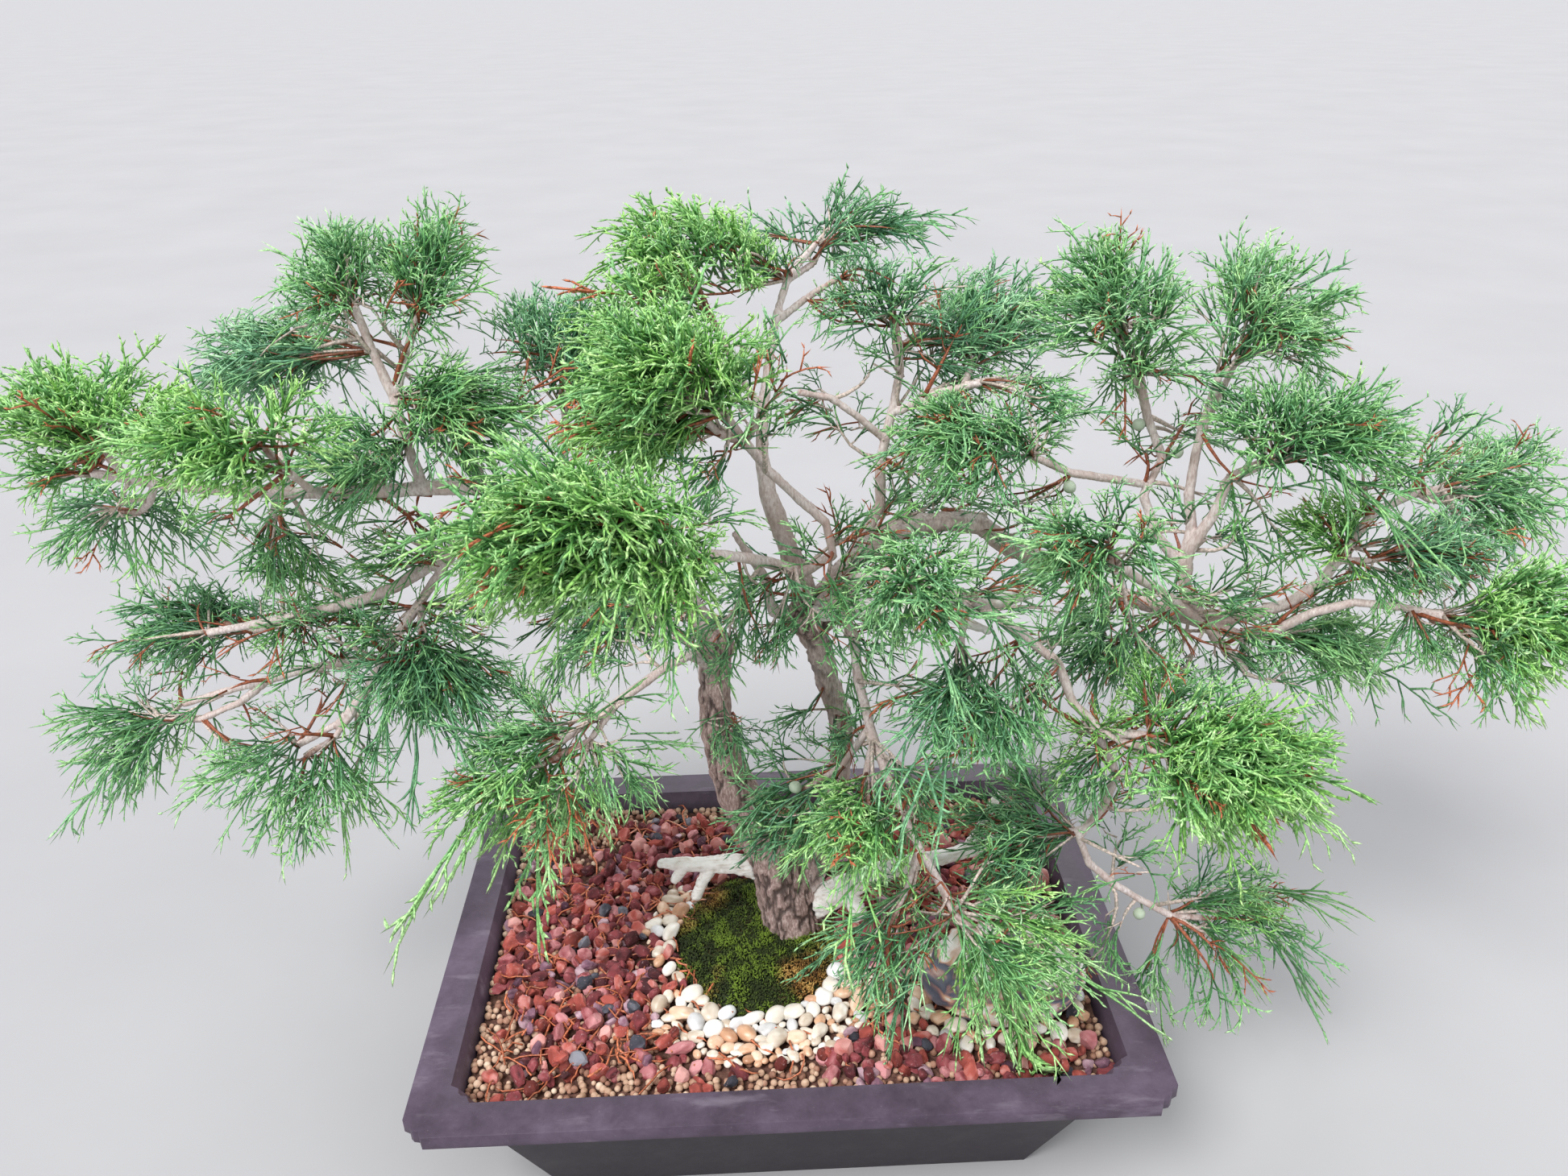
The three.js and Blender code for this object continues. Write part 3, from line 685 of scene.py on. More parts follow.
# Where pebbles are tried round the moss: how many, the angles, how far past its edge, and their sizes.
PEBBLE_TRIES = (
    (1500, (3.75, 5.9), (3, 25), (3.0, 6.2)), (120, (2.5, 3.0), (4, 17), (3.6, 6.0)),
    (16, (2.9, 3.9), (3, 16), (3.2, 5.0)), (1500, (3.9, 5.9), (2, 34), (1.9, 3.2)),
    (160, (2.4, 3.1), (2, 20), (1.9, 3.0)),
)
PEBBLE_TRIES_BY_ROCK = 300


def pebble_places():
    """Places and sizes of the river pebbles: before and left of the moss, and round the rock."""
    rng = np.random.default_rng(23)
    tried = []
    for tries, angles, reaches, sizes in PEBBLE_TRIES:
        for _ in range(tries):
            angle = rng.uniform(*angles)
            way = np.array([math.cos(angle), math.sin(angle)])
            tried.append((MOSS_MIDDLE + (MOSS_HALF + rng.uniform(*reaches)) * way, rng.uniform(*sizes)))
    for _ in range(PEBBLE_TRIES_BY_ROCK):
        spot = ROCK_MIDDLE + (ROCK_HALF + rng.uniform(-2, 12)) * unit(rng.normal(size=2))
        tried.append((spot, rng.uniform(3.2, 5.8)))
    kept = []
    for spot, size in tried:
        inside = np.all(np.abs(spot) < BED_HALF - size)
        if inside and all(math.dist(spot, other) > 0.78 * (size + near) for other, near in kept):
            kept.append((spot, size))
    return np.array([spot for spot, _ in kept]), np.array([size for _, size in kept])


PEBBLE_SPOTS, PEBBLE_SIZES = pebble_places()
GRIT_SPACING = 3.9


def make_grit():
    rng = np.random.default_rng(21)
    shapes = [stone_shape(rng, 2, 0.10, 0, 0) for _ in range(6)]
    place = jittered_grid(rng, GRIT_SPACING, BED_HALF)
    place = place[keep_clear(place, -2)]
    place = place[rng.uniform(size=len(place)) < 0.30 + 0.75 * gritty(place)]
    height = bed_height(place)
    for name, chosen in (("grit_left", place[:, 0] < 0), ("grit_right", place[:, 0] >= 0)):
        stones = Stones()
        for spot, z in zip(place[chosen], height[chosen]):
            size = rng.uniform(1.3, 2.2)
            stones.place(shapes[rng.integers(len(shapes))], [*spot, z + 0.4 * size], np.full(3, size),
                         random_spin(rng), rng.normal(0, 0.16), 0.15 + 0.6 * (rng.uniform() < 0.3))
        stones.finish(name, "grit", "lava_gravel")


def make_lava():
    """Two layers of lava gravel, clear of the moss and the pebbles."""
    rng = np.random.default_rng(22)
    shapes = [stone_shape(rng, 2, 0.45, 9, 0.42) for _ in range(24)]
    lower = jittered_grid(rng, 6.8, BED_HALF - 4)
    upper = jittered_grid(rng, 8.3, BED_HALF - 6)
    place = np.concatenate([lower, upper])
    lift = np.concatenate([np.full(len(lower), 1.2), np.full(len(upper), 5.0)])
    odds = np.where(lift > 2, 0.85, 1.0) * (1.08 - 1.0 * gritty(place))
    gap = np.linalg.norm(place[:, None] - PEBBLE_SPOTS, axis=2) - PEBBLE_SIZES
    keep = keep_clear(place, 1.5) & (rng.uniform(size=len(place)) < odds) & (gap.min(axis=1) > 1.2)
    place, lift = place[keep], lift[keep]
    height = bed_height(place) + lift
    back, left = place[:, 1] >= 0, place[:, 0] < 0
    for name, chosen in (("lava_back", back), ("lava_front_left", ~back & left),
                         ("lava_front_right", ~back & ~left)):
        stones = Stones()
        for spot, z in zip(place[chosen], height[chosen]):
            size = rng.uniform(2.5, 5.4) * np.array([1.25, 1.0, 0.8]) * rng.uniform(0.8, 1.2, 3)
            row = pick_row(rng, ((0.05, 0.95), (0.17, 0.75), (0.52, 0.5), (1, 0.15)))
            stones.place(shapes[rng.integers(len(shapes))], [*spot, z], size, random_spin(rng),
                         rng.normal(0.0, 0.27), row)
        stones.finish(name, "lava", "lava_gravel", smooth=False)


def make_pebbles():
    rng = np.random.default_rng(23)
    shapes = [stone_shape(rng, 3, *kind) for kind in ((0.16, 2, 0.15), (0.30, 5, 0.30)) for _ in range(6)]
    stones = Stones()
    for spot, size in zip(PEBBLE_SPOTS, PEBBLE_SIZES):
        height = bed_height(spot[None])[0] + 0.55 * size + 2.2
        row = pick_row(rng, ((0.1, 0.9), (0.42, 0.6), (1, 0.2)))
        sizes = size * np.array([1.3, 0.95, 0.68]) * rng.uniform(0.85, 1.15, 3)
        angle = rng.uniform(0, 6.3)
        flat = axes_along([math.cos(angle), math.sin(angle), rng.normal(0, 0.15)], rng.normal(0, 0.3))
        stones.place(shapes[rng.integers(len(shapes))], [*spot, height], sizes, flat,
                     rng.normal(0.05, 0.25), row)
    stones.finish("river_pebbles", "pebble", "river_pebble", ["pebble_ring"])


MOSS_SHOOTS = 9000


def moss_dryness(points, threshold):
    """How tan the moss is at each point, from 0 to 1."""
    return np.clip(4 * (layered_noise(points, 20, seed=9) - threshold), 0, 1)


def make_moss():
    """A cushion of short pointed shoots over a low dome, dry at its front right."""
    rng = np.random.default_rng(24)
    strands = Strands()
    points, triangles = ball(4)
    spot = points * [*MOSS_HALF, MOSS_HEIGHT]
    spot[:, 2] = np.maximum(spot[:, 2], -3)
    spot *= (1 + 0.10 * (layered_noise(spot, 14, seed=4) - 0.5))[:, None]
    spot += [*MOSS_MIDDLE, BED_Z]
    strands.add(spot, triangles, np.stack([np.full(len(spot), 0.15), moss_dryness(spot, 0.60)], axis=1))
    dry_middle = MOSS_MIDDLE + [0.63, -0.73] * MOSS_HALF
    for _ in range(MOSS_SHOOTS):
        way = unit(rng.normal(size=2)) * math.sqrt(rng.uniform(0, 1.06))
        place = MOSS_MIDDLE + MOSS_HALF * way
        dome = MOSS_HEIGHT * math.sqrt(max(0.0, 1 - min(1, way @ way) ** 1.5))
        foot = np.array([*place, BED_Z + dome - 0.8])
        ground = with_zero(place[None])
        lean = unit([*(0.5 * way + rng.normal(0, 0.45, 2)), 1.0])
        clump = layered_noise(ground, 8, seed=7)[0]
        reach = rng.uniform(1.4, 2.8) + 7.0 * max(0.0, clump - 0.42)
        shade = float(np.clip(2.0 * (clump - 0.5) + 0.5 + rng.normal(0, 0.15), 0.05, 0.98))
        dry = 0.5 * math.exp(-np.sum(((place - dry_middle) / 17) ** 2))
        tan = moss_dryness(ground, 0.62 - dry)[0]
        strands.tube([foot, foot + 0.6 * reach * lean, foot + reach * unit(lean + rng.normal(0, 0.25, 3))],
                     [0.6, 0.5, 0], [0.1, shade, min(1, shade + 0.2)], tan * 0.96)
    strands.finish("moss_cushion", "moss", "moss", ["moss_patch"])


def sculpted_copy(name, node, voxel, lumps):
    """A fine mesh on a CAD node's shape, its surface moved by layers of noise: (scale, height, ridged)."""
    piece = new_object(name, frame["nodes"][node].data.copy())
    remesh = piece.modifiers.new("remesh", "REMESH")
    remesh.mode = "VOXEL"
    remesh.voxel_size = voxel * MM
    smooth = piece.modifiers.new("smooth", "SMOOTH")
    smooth.factor = 0.5
    smooth.iterations = 6
    apply_modifiers(piece)
    mesh = piece.data
    points, normals = mesh_arrays(mesh)
    for seed, (scale, height, ridged) in enumerate(lumps):
        wave = layered_noise(points, scale, seed=seed)
        wave = 1 - np.abs(2 * wave - 1) * 2 if ridged else 2 * wave - 1
        points = points + normals * (height * wave)[:, None]
    mesh.shade_smooth()
    set_points(mesh, points)
    return piece


def point_attribute(mesh, name, values):
    attribute = mesh.attributes.new(name, "FLOAT", "POINT")
    attribute.data.foreach_set("value", np.asarray(values, np.float32))


def make_stones():
    rock = sculpted_copy("banded_boulder", "striped_rock", 1.3, [
        (30, 4.0, True), (9, 1.4, False), (3, 0.5, False)])
    finish_piece(rock, "rock", ["striped_rock"])
    red = sculpted_copy("accent_stone", "red_stone", 0.9, [(10, 1.6, True), (3, 0.5, False)])
    points, _ = mesh_arrays(red.data)
    tone = layered_noise(points, 9, seed=12) * 1.3 - 0.1
    palette = np.stack([np.clip(tone, 0.02, 0.98), value_noise(points, 6)], axis=1).astype(np.float32)
    set_palette(red.data, palette)
    finish_piece(red, "red_stone", ["red_stone"])


FALLEN_TRIES = 420


def make_fallen_strands():
    """Dry brown threads that have dropped on the gravel, more of them on the left."""
    rng = np.random.default_rng(25)
    strands = Strands()
    for _ in range(FALLEN_TRIES):
        place = rng.uniform(-1, 1, 2) * (BED_HALF - 12)
        if not keep_clear(place[None])[0] or place[0] > 0 and rng.uniform() < 0.7:
            continue
        heading = rng.uniform(0, 2 * math.pi)
        path = [place]
        for _ in range(6):
            heading += rng.normal(0, 0.34)
            path.append(path[-1] + rng.uniform(3, 6) * np.array([math.cos(heading), math.sin(heading)]))
        path = np.clip(path, -BED_HALF, BED_HALF)
        height = bed_height(path) + 5.2 + rng.normal(0, 0.8, len(path))
        tones = np.full(len(path), rng.uniform(0.5, 0.85))
        lying = np.concatenate([path, height[:, None]], axis=1)
        strands.tube(lying, np.full(len(path), 0.62), tones, DEAD_ROW)
    strands.finish("fallen_threads", "foliage", "foliage")


# ---------------------------------------------------------------- wood

def make_wood(node, voxel):
    """A limb on its CAD shape, grown enough to close the gap at its joint, with bark that suits its girth."""
    piece = sculpted_copy(node + "_bark", node, voxel, [])
    mesh = piece.data
    points, normals = mesh_arrays(mesh)
    tree = BVHTree.FromPolygons([Vector(p) for p in points], [p.vertices[:] for p in mesh.polygons])
    girth = np.empty(len(points))
    for i, (point, normal) in enumerate(zip(points, normals)):
        hit = tree.ray_cast(Vector(point - 0.2 * normal), Vector(-normal))
        girth[i] = hit[3] if hit[3] else 3.0
    girth = np.clip(girth, 0, 45)
    stretched = points * [1, 1, 0.3] if node in THICK_NODES else points * 0.8
    plates = layered_noise(stretched, 5.5, seed=1)
    ridge = 1 - 2 * np.abs(2 * plates - 1)
    crack = np.clip((ridge - 0.70) * 5, 0, 1) * np.clip((girth - 8) / 8, 0, 1)
    lump = 2 * layered_noise(points, 8, seed=3) - 1
    fine = 2 * layered_noise(stretched, 2.2, seed=5) - 1
    grow = 0.35 + np.clip(0.15 * (4 - girth), 0, 0.4) - 1.5 * crack
    grow += np.clip(girth / 14, 0.35, 1) * (1.3 * lump + 0.6 * fine)
    set_points(mesh, points + normals * grow[:, None])
    point_attribute(mesh, "girth", girth / 40)
    # The crack mask both dents the bark and paints the cracks near black: darker wood with painted shade.
    point_attribute(mesh, "crack", crack * 0.85)
    return piece


def make_tree_wood():
    for node in BARK_NODES:
        piece = make_wood(node, 1.2 if node in THICK_NODES else 0.9)
        finish_piece(piece, "bark", [node])
    for node in DEADWOOD_NODES:
        piece = sculpted_copy(node + "_wood", node, 0.8, [(14, 1.0, False), (4, 0.7, True), (2, 0.25, False)])
        points, normals = mesh_arrays(piece.data)
        set_points(piece.data, points + 0.4 * normals)
        finish_piece(piece, "deadwood", [node])


# ---------------------------------------------------------------- foliage

SPRAY_LENGTHS = (28.0, 42.0, 58.0)
THREAD_STEP = 7.5
TIP_TONE = 0.92


def grow_thread(strands, rng, start, heading, length, level, tone, plan, girth):
    """One scaly thread, roughly in the XY plane, and the threads that fork off it at acute angles."""
    steps = max(2, int(round(length / THREAD_STEP)))
    bend = rng.normal(0, 0.38) / steps
    path, angle, rise = [np.array(start, float)], heading[0], heading[1]
    for _ in range(steps):
        angle += bend + rng.normal(0, 0.08)
        way = [math.cos(angle) * math.cos(rise), math.sin(angle) * math.cos(rise), math.sin(rise)]
        path.append(path[-1] + length / steps * np.array(way))
    ends = np.linspace(0, 1, steps + 1)
    radii = girth * (1.0 - 0.10 * level) * (1 - 0.2 * ends)
    tones = tone + (TIP_TONE - tone) * ends**1.5 + rng.normal(0, 0.09, steps + 1)
    strands.tube(path, radii, tones, 0.0)
    if level >= len(plan):
        return
    spacing, share, spread = plan[level]
    at, side = spacing * rng.uniform(0.9, 1.8), rng.choice([-1, 1])
    while at < 0.92 * length:
        place = at / length
        low = min(int(place * steps), steps - 1)
        foot = path[low] + (path[low + 1] - path[low]) * (place * steps - low)
        reach = share * (length - at) * rng.uniform(0.75, 1.2) + 3.0
        turn = side * spread * rng.uniform(0.75, 1.25)
        forked = (angle - bend * (steps - low) + turn, rise + rng.normal(0, 0.2))
        grow_thread(strands, rng, foot, forked, reach, level + 1, tone + (TIP_TONE - tone) * place**1.5,
                    plan, girth)
        at += spacing * rng.uniform(0.75, 1.3)
        side = -side


# Each plan gives, for every level of forks, their spacing, their length's share and their angle.
FINE_PLANS = [
    [(6.8, 0.64, 0.60), (5.0, 0.36, 0.62)],
    [(5.8, 0.60, 0.66), (5.0, 0.34, 0.64)],
    [(8.2, 0.78, 0.50), (6.0, 0.46, 0.56)],
]
# New growth has short side stubs all along its threads.
STUBBY_PLANS = [
    [(7.0, 0.62, 0.58), (3.8, 0.22, 0.68)],
    [(6.0, 0.55, 0.62), (3.8, 0.20, 0.70)],
]


def spray_shapes(plans, count, girth):
    """For each length, some sprays of every plan."""
    shapes = []
    for length in SPRAY_LENGTHS:
        family = []
        for plan in plans:
            for _ in range(count):
                strands = Strands()
                grow_thread(strands, SHAPE_RNG, (0, 0, 0), (0.0, 0.0), length, 0, 0.3, plan, girth)
                family.append(strands.arrays())
        shapes.append(family)
    return shapes


FINE_SPRAYS = spray_shapes(FINE_PLANS, 4, 0.57)
STUBBY_SPRAYS = spray_shapes(STUBBY_PLANS, 5, 0.71)
WOOD_POINTS = np.concatenate([node_points(node) for node in BARK_NODES])
TREE_MIDDLE = np.array([10.0, 10.0, 280.0])
TREE_LOW, TREE_HIGH = np.array(cad_box[0]) / MM - 6, np.array(cad_box[1]) / MM + 6
POT_HIGH = box_mm("pot")[1]


def lift_clear(points):
    """Foliage that would sink into the pot, its dressing or the floor lies on it, nearly flat."""
    over_pot = (np.abs(points[:, 0]) < POT_HIGH[0] + 1) & (np.abs(points[:, 1]) < POT_HIGH[1] + 1)
    inside = (np.abs(points[:, 0]) < BED_HALF[0]) & (np.abs(points[:, 1]) < BED_HALF[1])
    floor = np.where(inside, BED_Z + 3, np.where(over_pot, POT_HIGH[2] + 0.6, 1.0))
    sunk = points[:, 2] < floor + 3
    points[sunk, 2] = (floor + 3 + 0.12 * np.maximum(points[:, 2] - floor - 3, -28))[sunk]
    return points


def add_spray(strands, rng, base, direction, length, look, droop, painted_light_and_tone_shift, dead=False, facing=(0, 0, 1)):
    """A copy of one of the spray shapes, lighter or darker by a shift of tone, which inside masses is painted
    light; it faces the way that is given.
    """
    families = STUBBY_SPRAYS if look["bright"] > 0.1 and rng.uniform() < 0.7 else FINE_SPRAYS
    index = int(np.argmin(np.abs(np.array(SPRAY_LENGTHS) - length)))
    points, triangles, palette = families[index][rng.integers(len(families[index]))]
    turned = points * (length / SPRAY_LENGTHS[index]) @ axes_along(direction, rng.normal(0, 0.45), facing).T
    turned[:, 2] -= droop * np.sum(turned**2, axis=1)
    placed = lift_clear(turned + base)
    tone = np.clip(palette[:, 0] + look["bright"] + painted_light_and_tone_shift + rng.normal(0, 0.06), 0.02, 0.98)
    row = np.clip(look["warm"] + rng.normal(0, 0.14), 0.02, 0.95) * LIVING_ROWS
    if dead:
        tone, row = np.clip(0.6 * tone + 0.2, 0, 1), DEAD_ROW
    strands.add(placed, triangles, np.stack([tone, palette[:, 1] + row], axis=1))


AREA_OF_SPRAY = 61      # surface of a mass for each of its sprays, at a density of 1
SPRAY_SPACING = 5.0
SHORTEST_SPRAY = 5
PALE_TWIG = 0.97        # tone of bare grey twigs


def ellipsoid_reach(base, direction, centre, half):
    """Distance from a place inside an ellipsoid to its surface, along a direction."""
    p, d = (base - centre) / half, direction / half
    a, b, c = d @ d, 2 * p @ d, p @ p - 1
    return (-b + math.sqrt(max(b * b - 4 * a * c, 0))) / (2 * a)


def room_inside(base, direction):
    """How far a spray may reach along a direction before it leaves the space round the whole tree."""
    walls = np.where(direction > 0, TREE_HIGH, TREE_LOW)
    return np.min((walls - base) / np.where(np.abs(direction) < 1e-6, 1e-6, direction))


def mass_flow(centre, half):
    """The wood's points near a mass, the way that it grows from its limbs, and the place where it starts."""
    distance = np.linalg.norm((WOOD_POINTS - centre) / half, axis=1)
    order = np.argsort(distance)
    near = WOOD_POINTS[order[:90]]
    near = near[distance[order[:90]] < max(1.9, distance[order[11]] + 0.3)]
    away = (centre - WOOD_POINTS[order[:60]].mean(axis=0)) / half
    through = np.linalg.norm(away) < 0.35
    away = unit(away + (np.array([0, -0.2, 0.7]) if through else 0))
    return near, away, centre - away * half * (0.6 if through else 1.3)


def ellipsoid_area(half):
    pairs = [(half[i] * half[j]) ** 1.6 for i, j in ((0, 1), (0, 2), (1, 2))]
    return 4 * math.pi * (sum(pairs) / 3) ** (1 / 1.6)


def fill_mass(strands, rng, centre, half, look):
    """Fills an ellipsoid with twigs and sprays that flow away from the side where its limbs come in."""
    half = half * look.get("size", 0.96)
    near, away, root = mass_flow(centre, half)
    shift = rng.uniform(0, 50, 3)
    wanted = ellipsoid_area(half) / AREA_OF_SPRAY * look["density"]
    made = 0
    while made < wanted:
        way = unit(rng.normal(size=3))
        start = near[rng.integers(len(near))]
        end = centre + (way * rng.uniform(0.35, 0.95) - 0.2 * away) * half
        length = np.linalg.norm(end - start)
        path = curved_path(start, end, 0.12 * length * unit(away * half) + rng.normal(0, 0.07 * length, 3), 6)
        shade = PALE_TWIG if rng.uniform() < 0.45 else rng.uniform(0.15, 0.5)
        strands.tube(path, np.linspace(0.95, 0.4, 6), np.full(6, shade), DEAD_ROW)
        count = max(2, int(length / SPRAY_SPACING))
        for i in range(count + 1):
            t = 0.1 + 0.9 * i / count
            place = min(t * 5, 4.999)
            index = int(place)
            base = path[index] + (path[index + 1] - path[index]) * (place - index)
            tangent = unit(path[index + 1] - path[index])
            side = unit(np.cross(tangent, rng.normal(size=3)))
            direction = unit(0.7 * unit(base - root) + 0.55 * tangent + 0.38 * side + [0, 0, look["lift"]])
            toward = unit((base + 20 * direction - centre) / half)
            swell = 0.62 + 0.8 * value_noise(toward[None] + shift, 0.6)[0]
            reach = ellipsoid_reach(base, direction, centre, swell * half + 3)
            if reach < SHORTEST_SPRAY:
                continue
            spray = np.clip(reach * rng.uniform(0.7, 1.15) + 3, 16, 50) * look.get("long", 1.0)
            if rng.uniform() < 0.06:
                spray *= 1.6
            spray = min(spray, room_inside(base, direction))
            if spray < SHORTEST_SPRAY:
                continue
            depth = np.linalg.norm((base - centre) / half)
            # Painted light: sprays deep inside a mass are darker, as painted shade, and those high in it
            # lighter, as painted light.
            painted_light_and_tone_shift = 0.22 * (min(depth, 1.2) - 0.7) + 0.08 * (base[2] - centre[2]) / half[2]
            add_spray(strands, rng, base, direction, spray, look, rng.uniform(0.001, 0.007), painted_light_and_tone_shift,
                      dead=depth < 0.55 and rng.uniform() < 0.05,
                      facing=unit((base - centre) / half) + rng.normal(0, 0.3, 3) + [0, 0, 0.5])
            made += 1


def make_mass(name, seed, centre, half, look, nodes=()):
    strands = Strands()
    fill_mass(strands, np.random.default_rng(seed), centre, half, look)
    strands.finish(name, "foliage", "foliage", nodes)


def make_foliage(node, seed):
    low, high = box_mm(node)
    look = FOLIAGE_LOOKS.get(node, MIDDLE)
    make_mass(node + "_sprays", seed, (low + high) / 2, (high - low) / 2, look, [node])


# Loose sprays between the larger masses: the two masses that each lies between, its place from the first to
# the second, how far it is moved from there, its half size and its look.
LOOSE_SPRAYS = {
    "inner": ("trunk_dark", "upper_streak", 0.45, (10, 5, 5), (24, 20, 15), SHADED),
    "arch": ("right_shade", "right_upper", 0.45, (-10, 25, 0), (34, 26, 20), SHADED),
    "left_twig": ("left_near", "left_drop", 0.5, (5, 0, 5), (38, 28, 20), MIDDLE),
    "outer": ("right_blue", "hanging", 0.3, (0, 40, -5), (42, 30, 18), MIDDLE),
    "left_limb": ("left_inner", "far_left_tip", 0.25, (0, -5, -15), (30, 24, 22), MIDDLE),
    "left_limb_low": ("left_under", "left_inner", 0.45, (0, -10, 0), (20, 18, 14), MIDDLE),
    "crown_gap": ("front_centre", "upper_bright", 0.45, (5, 15, -20), (30, 24, 16), BRIGHT),
    "fan_right_low": ("fan_right", "left_inner", 0.3, (0, -10, 5), (22, 18, 12), FAN),
    "fan_left_low": ("fan_left", "left_bright", 0.15, (0, -5, 0), (18, 16, 11), FAN),
    "leader_tip": ("top", "upper_bright", 0.5, (5, -5, -10), (20, 18, 11), THIN),
    "leader_side": ("top_front", "upper_left_back", 0.1, (0, -5, -5), (24, 18, 9), MIDDLE),
    "right_gap": ("upper_right", "right_inner", 0.45, (0, -5, 5), (20, 18, 13), MIDDLE),
    "over_arch": ("centre_right", "right_fan_left", 0.5, (-5, 30, -20), (22, 18, 12), MIDDLE),
    "right_fans_low": ("right_fan_right", "right_of_centre", 0.45, (0, -5, 0), (28, 20, 12), FAN),
    "right_fan_side": ("right_fan_right", "right_upper", 0.5, (-5, -5, 10), (25, 18, 9), FAN),
    "outer_limb": ("right_blue", "right_inner", 0.2, (-5, 20, 0), (22, 20, 17), BRIGHT),
    "far_right_low": ("far_right_bright", "hanging", 0.15, (0, 35, 5), (20, 16, 12), MIDDLE),
    "low_left_inner": ("low_left_front", "low_bright", 0.3, (0, 5, 10), (18, 18, 17), MIDDLE),
    "trunk_front": ("centre_dark", "over_rock", 0.5, (5, 0, 10), (24, 14, 10), THIN),
    "over_rock_high": ("low_front", "over_rock", 0.15, (5, 40, -5), (22, 16, 10), MIDDLE),
    "low_right": ("right_shade", "right_inner", 0.4, (25, -10, 0), (26, 22, 15), BRIGHT),
    "low_right_high": ("right_bright", "right_of_centre", 0.2, (5, 20, -5), (18, 18, 13), BRIGHT),
    "rim": ("hanging", "low_front", 0.15, (-10, 10, -30), (13, 14, 18), HANGING),
    "left_gap": ("left_near", "left_inner", 0.15, (5, 10, 0), (23, 18, 12), MIDDLE),
    "left_inner_low": ("left_near", "trunk_dark", 0.3, (-5, 5, -5), (18, 18, 13), MIDDLE),
    "low_left_gap": ("low_left_mid", "low_left_tip", 0.4, (5, 10, 0), (15, 15, 12), MIDDLE),
    "far_left_gap": ("far_left_tip", "far_left_under", 0.3, (-5, -10, -5), (22, 18, 10), BRIGHT),
    "upper_left_gap": ("upper_left_back", "left_inner", 0.4, (-5, 5, 5), (24, 20, 15), BLUISH),
    "trunk_side": ("trunk_dark", "centre_dark", 0.3, (5, 0, 10), (16, 14, 14), SHADED),
    "leader_low": ("right_shade", "centre_dark", 0.45, (-5, -10, 10), (20, 16, 12), SHADED),
    "left_lower_gap": ("left_inner", "low_left_mid", 0.4, (-5, 0, 5), (24, 20, 13), MIDDLE),
    "far_right_gap": ("right_blue", "right_bright", 0.1, (0, 5, -5), (24, 20, 13), MIDDLE),
    "far_right_inner": ("far_right_bright", "right_shade", 0.15, (-5, 15, 5), (20, 18, 13), MIDDLE),
    "low_right_gap": ("right_shade", "right_bright", 0.45, (-10, 5, 15), (20, 18, 13), MIDDLE),
    "low_left_upper": ("low_left_front", "left_inner", 0.15, (5, -5, 0), (30, 20, 9), MIDDLE),
    "right_centre_gap": ("right_of_centre", "top", 0.4, (10, 15, -5), (26, 20, 12), BLUISH),
    "bright_bridge": ("front_centre", "upper_bright", 0.5, (-10, 5, -15), (30, 26, 18), BRIGHT),
    "bright_bridge_high": ("upper_bright", "front_centre", 0.3, (-5, 0, 10), (28, 24, 15), BRIGHT),
    "left_bridge": ("left_bright", "far_left_tip", 0.45, (0, 5, -5), (26, 22, 12), BRIGHT),
}

# Each berry's limb, its place along it and the side that it hangs on.
BERRIES = (
    ("right_rising_branch", 0.02, (0, -1, -1)), ("right_rising_branch", 0.33, (-2, -1, 0.5)),
    ("right_rising_branch", 0.41, (1, -1, 1)), ("right_rising_branch", 0.66, (-2, 1, -0.5)),
    ("low_right_branch", 0.9, (-1, -2, -1)), ("low_front_branch", 0.45, (-1, -1, 1.5)),
)


def make_berries(rng):
    """Pale blue-green berries on short stems."""
    strands = Strands()
    points, triangles = ball(3)
    for limb, share, way in BERRIES:
        wood = node_points(limb)
        order = np.argsort(np.linalg.norm(wood - TREE_MIDDLE, axis=1))
        near = wood[order[int(share * (len(order) - 1))]]
        middle = near + 6.5 * unit(way)
        lumpy = points * (3.0 + 0.5 * value_noise(points + middle, 0.8)[:, None])
        tone = 0.72 + 0.2 * value_noise(points + middle, 0.5)
        strands.add(lumpy + middle, triangles, np.stack([tone, np.full(len(points), 0.06)], axis=1))
        stem = curved_path(near, middle, rng.normal(0, 0.5, 3), 3)
        strands.tube(stem, [0.8, 0.7, 0.6], np.full(3, 0.4), 0.1)
    strands.finish("berries", "berry", "foliage")


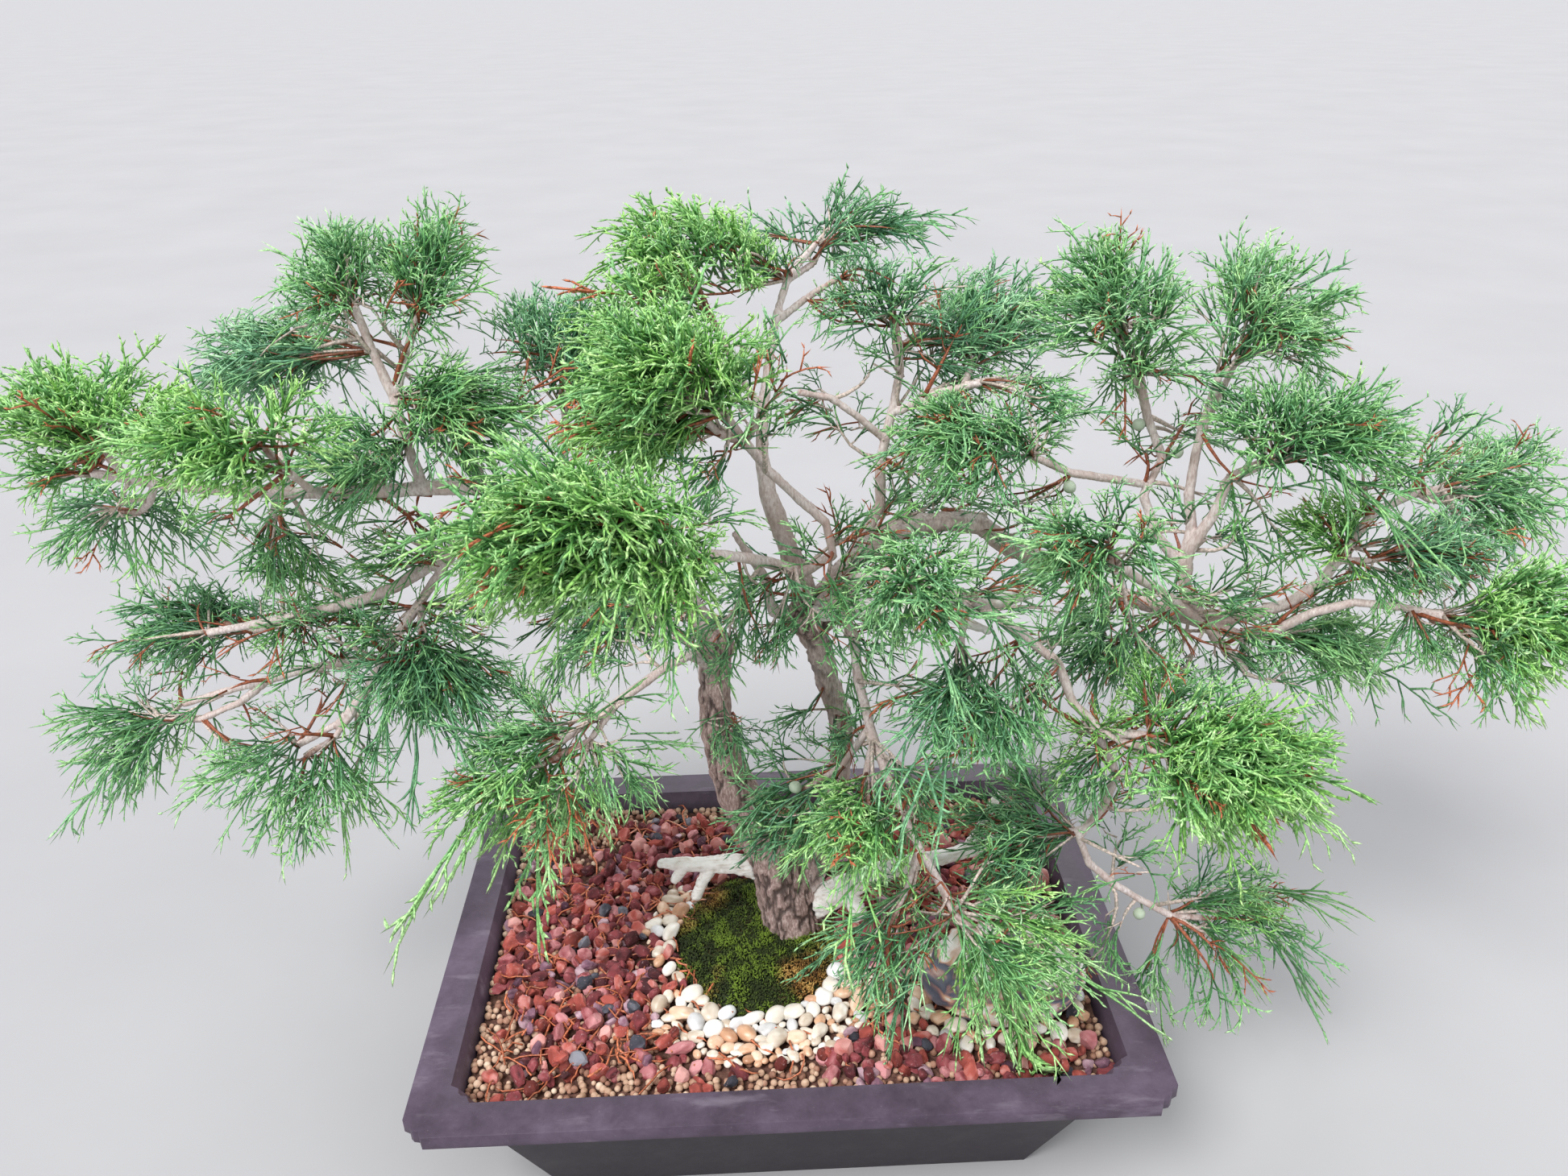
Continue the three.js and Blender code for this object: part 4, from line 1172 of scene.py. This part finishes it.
def make_sprigs():
    """Small sprays that grow straight from the thinner limbs, between the larger masses, and the berries."""
    rng = np.random.default_rng(77)
    for node in BARK_NODES:
        if node in THICK_NODES:
            continue
        points = node_points(node)
        strands = Strands()
        low, high = points.min(axis=0), points.max(axis=0)
        for _ in range(int(np.linalg.norm(high - low) / 9)):
            start = points[rng.integers(len(points))]
            outward = unit((start - TREE_MIDDLE) * [1, 1, 0.4])
            way = unit(rng.normal(0, 0.75, 3) + 0.8 * outward)
            end = start + way * rng.uniform(14, 40)
            path = curved_path(start, end, rng.normal(0, 2.0, 3), 5)
            shade = PALE_TWIG if rng.uniform() < 0.7 else 0.4
            strands.tube(path, np.linspace(1.35, 0.6, 5), np.full(5, shade), DEAD_ROW, sides=4)
            for fork in range(rng.integers(2, 5)):
                foot = path[rng.integers(2, 5)] if fork else end
                heading = unit(way + rng.normal(0, 0.5, 3))
                tip = foot + heading * rng.uniform(8, 18)
                bowed = curved_path(foot, tip, rng.normal(0, 1.0, 3), 3)
                strands.tube(bowed, [0.7, 0.55, 0.4], np.full(3, shade), DEAD_ROW)
                for share in (0.4, 0.7, 1.0):
                    way_out = unit(heading + rng.normal(0, 0.35, 3))
                    add_spray(strands, rng, foot + share * (tip - foot), way_out, rng.uniform(16, 32), MIDDLE,
                              rng.uniform(0.002, 0.006), rng.normal(-0.05, 0.08), dead=rng.uniform() < 0.06)
        strands.finish(node + "_sprigs", "foliage", "foliage")
    make_berries(rng)


def make_loose_sprays():
    for number, (name, row) in enumerate(LOOSE_SPRAYS.items()):
        first, second, share, shift, half, look = row
        start, end = (sum(box_mm(node)) / 2 for node in (first, second))
        middle = start + share * (end - start) + shift
        make_mass(name + "_spray", 300 + number, middle, np.array(half, float), look)


# ---------------------------------------------------------------- stage

# The camera's place in metres.
CAMERA_PLACE = (-0.0129, -0.5477, 0.5905)
CAMERA_PITCH, CAMERA_YAW, CAMERA_ROLL = (math.radians(a) for a in (26.71, -1.79, -1.10))
CAMERA_LENS_MM = 27.75


def make_camera():
    camera = bpy.data.cameras.new("camera")
    camera.lens = CAMERA_LENS_MM
    camera.sensor_width = 36
    camera.clip_end = 1000
    holder = new_object("camera", camera)
    turn = Matrix.Rotation(CAMERA_YAW, 4, "Z") @ Matrix.Rotation(math.pi / 2 - CAMERA_PITCH, 4, "X")
    holder.matrix_world = Matrix.Translation(CAMERA_PLACE) @ turn @ Matrix.Rotation(CAMERA_ROLL, 4, "Z")
    bpy.context.scene.camera = holder


# Soft lamps: the place in metres that each shines from, its spread in degrees and its strength.
LAMPS = (
    ("key", (-2.7, -3.0, 4.95), 24, 3.25), ("fill", (3.9, -2.7, 2.85), 43, 0.94),
    ("back", (0.9, 4.5, 4.05), 33, 0.92),
)


def make_lights():
    world = bpy.data.worlds.new("studio")
    world.use_nodes = True
    background = world.node_tree.nodes["Background"]
    background.inputs["Color"].default_value = (0.93, 0.96, 1.0, 1)
    background.inputs["Strength"].default_value = 0.68
    bpy.context.scene.world = world
    for name, place, spread, power in LAMPS:
        lamp = bpy.data.lights.new(name, "SUN")
        lamp.angle = math.radians(spread)
        lamp.energy = power
        holder = new_object(name, lamp)
        holder.location = place
        holder.rotation_euler = (-Vector(place)).to_track_quat("-Z", "Y").to_euler()


FLOOR_HALF_M = 400.0


def make_floor():
    mesh = bpy.data.meshes.new("floor")
    corners = [(FLOOR_HALF_M * x, FLOOR_HALF_M * y, 0) for x, y in ((-1, -1), (1, -1), (1, 1), (-1, 1))]
    mesh.from_pydata(corners, [], [(0, 1, 2, 3)])
    floor = new_object("floor", mesh)
    material, tree, shader = new_material("pale_floor", 0.9)
    tint = ramp(tree, noise_node(tree, 3), [(0.3, (0.375, 0.37, 0.38)), (0.7, (0.405, 0.40, 0.41))])
    link(tree, tint, shader.inputs["Base Color"])
    mesh.materials.append(material)


# ---------------------------------------------------------------- everything

bpy.context.scene.view_settings.view_transform = "Standard"
make_camera()
make_lights()
make_floor()
make_pot()
frame["nodes"]["soil"].data.materials.clear()
frame["nodes"]["soil"].data.materials.append(MATERIALS["soil"])
make_bed()
make_grit()
make_lava()
make_pebbles()
make_moss()
make_stones()
make_fallen_strands()
make_tree_wood()
for number, foliage_node in enumerate(FOLIAGE_NODES):
    make_foliage(foliage_node, 100 + number)
make_sprigs()
make_loose_sprays()
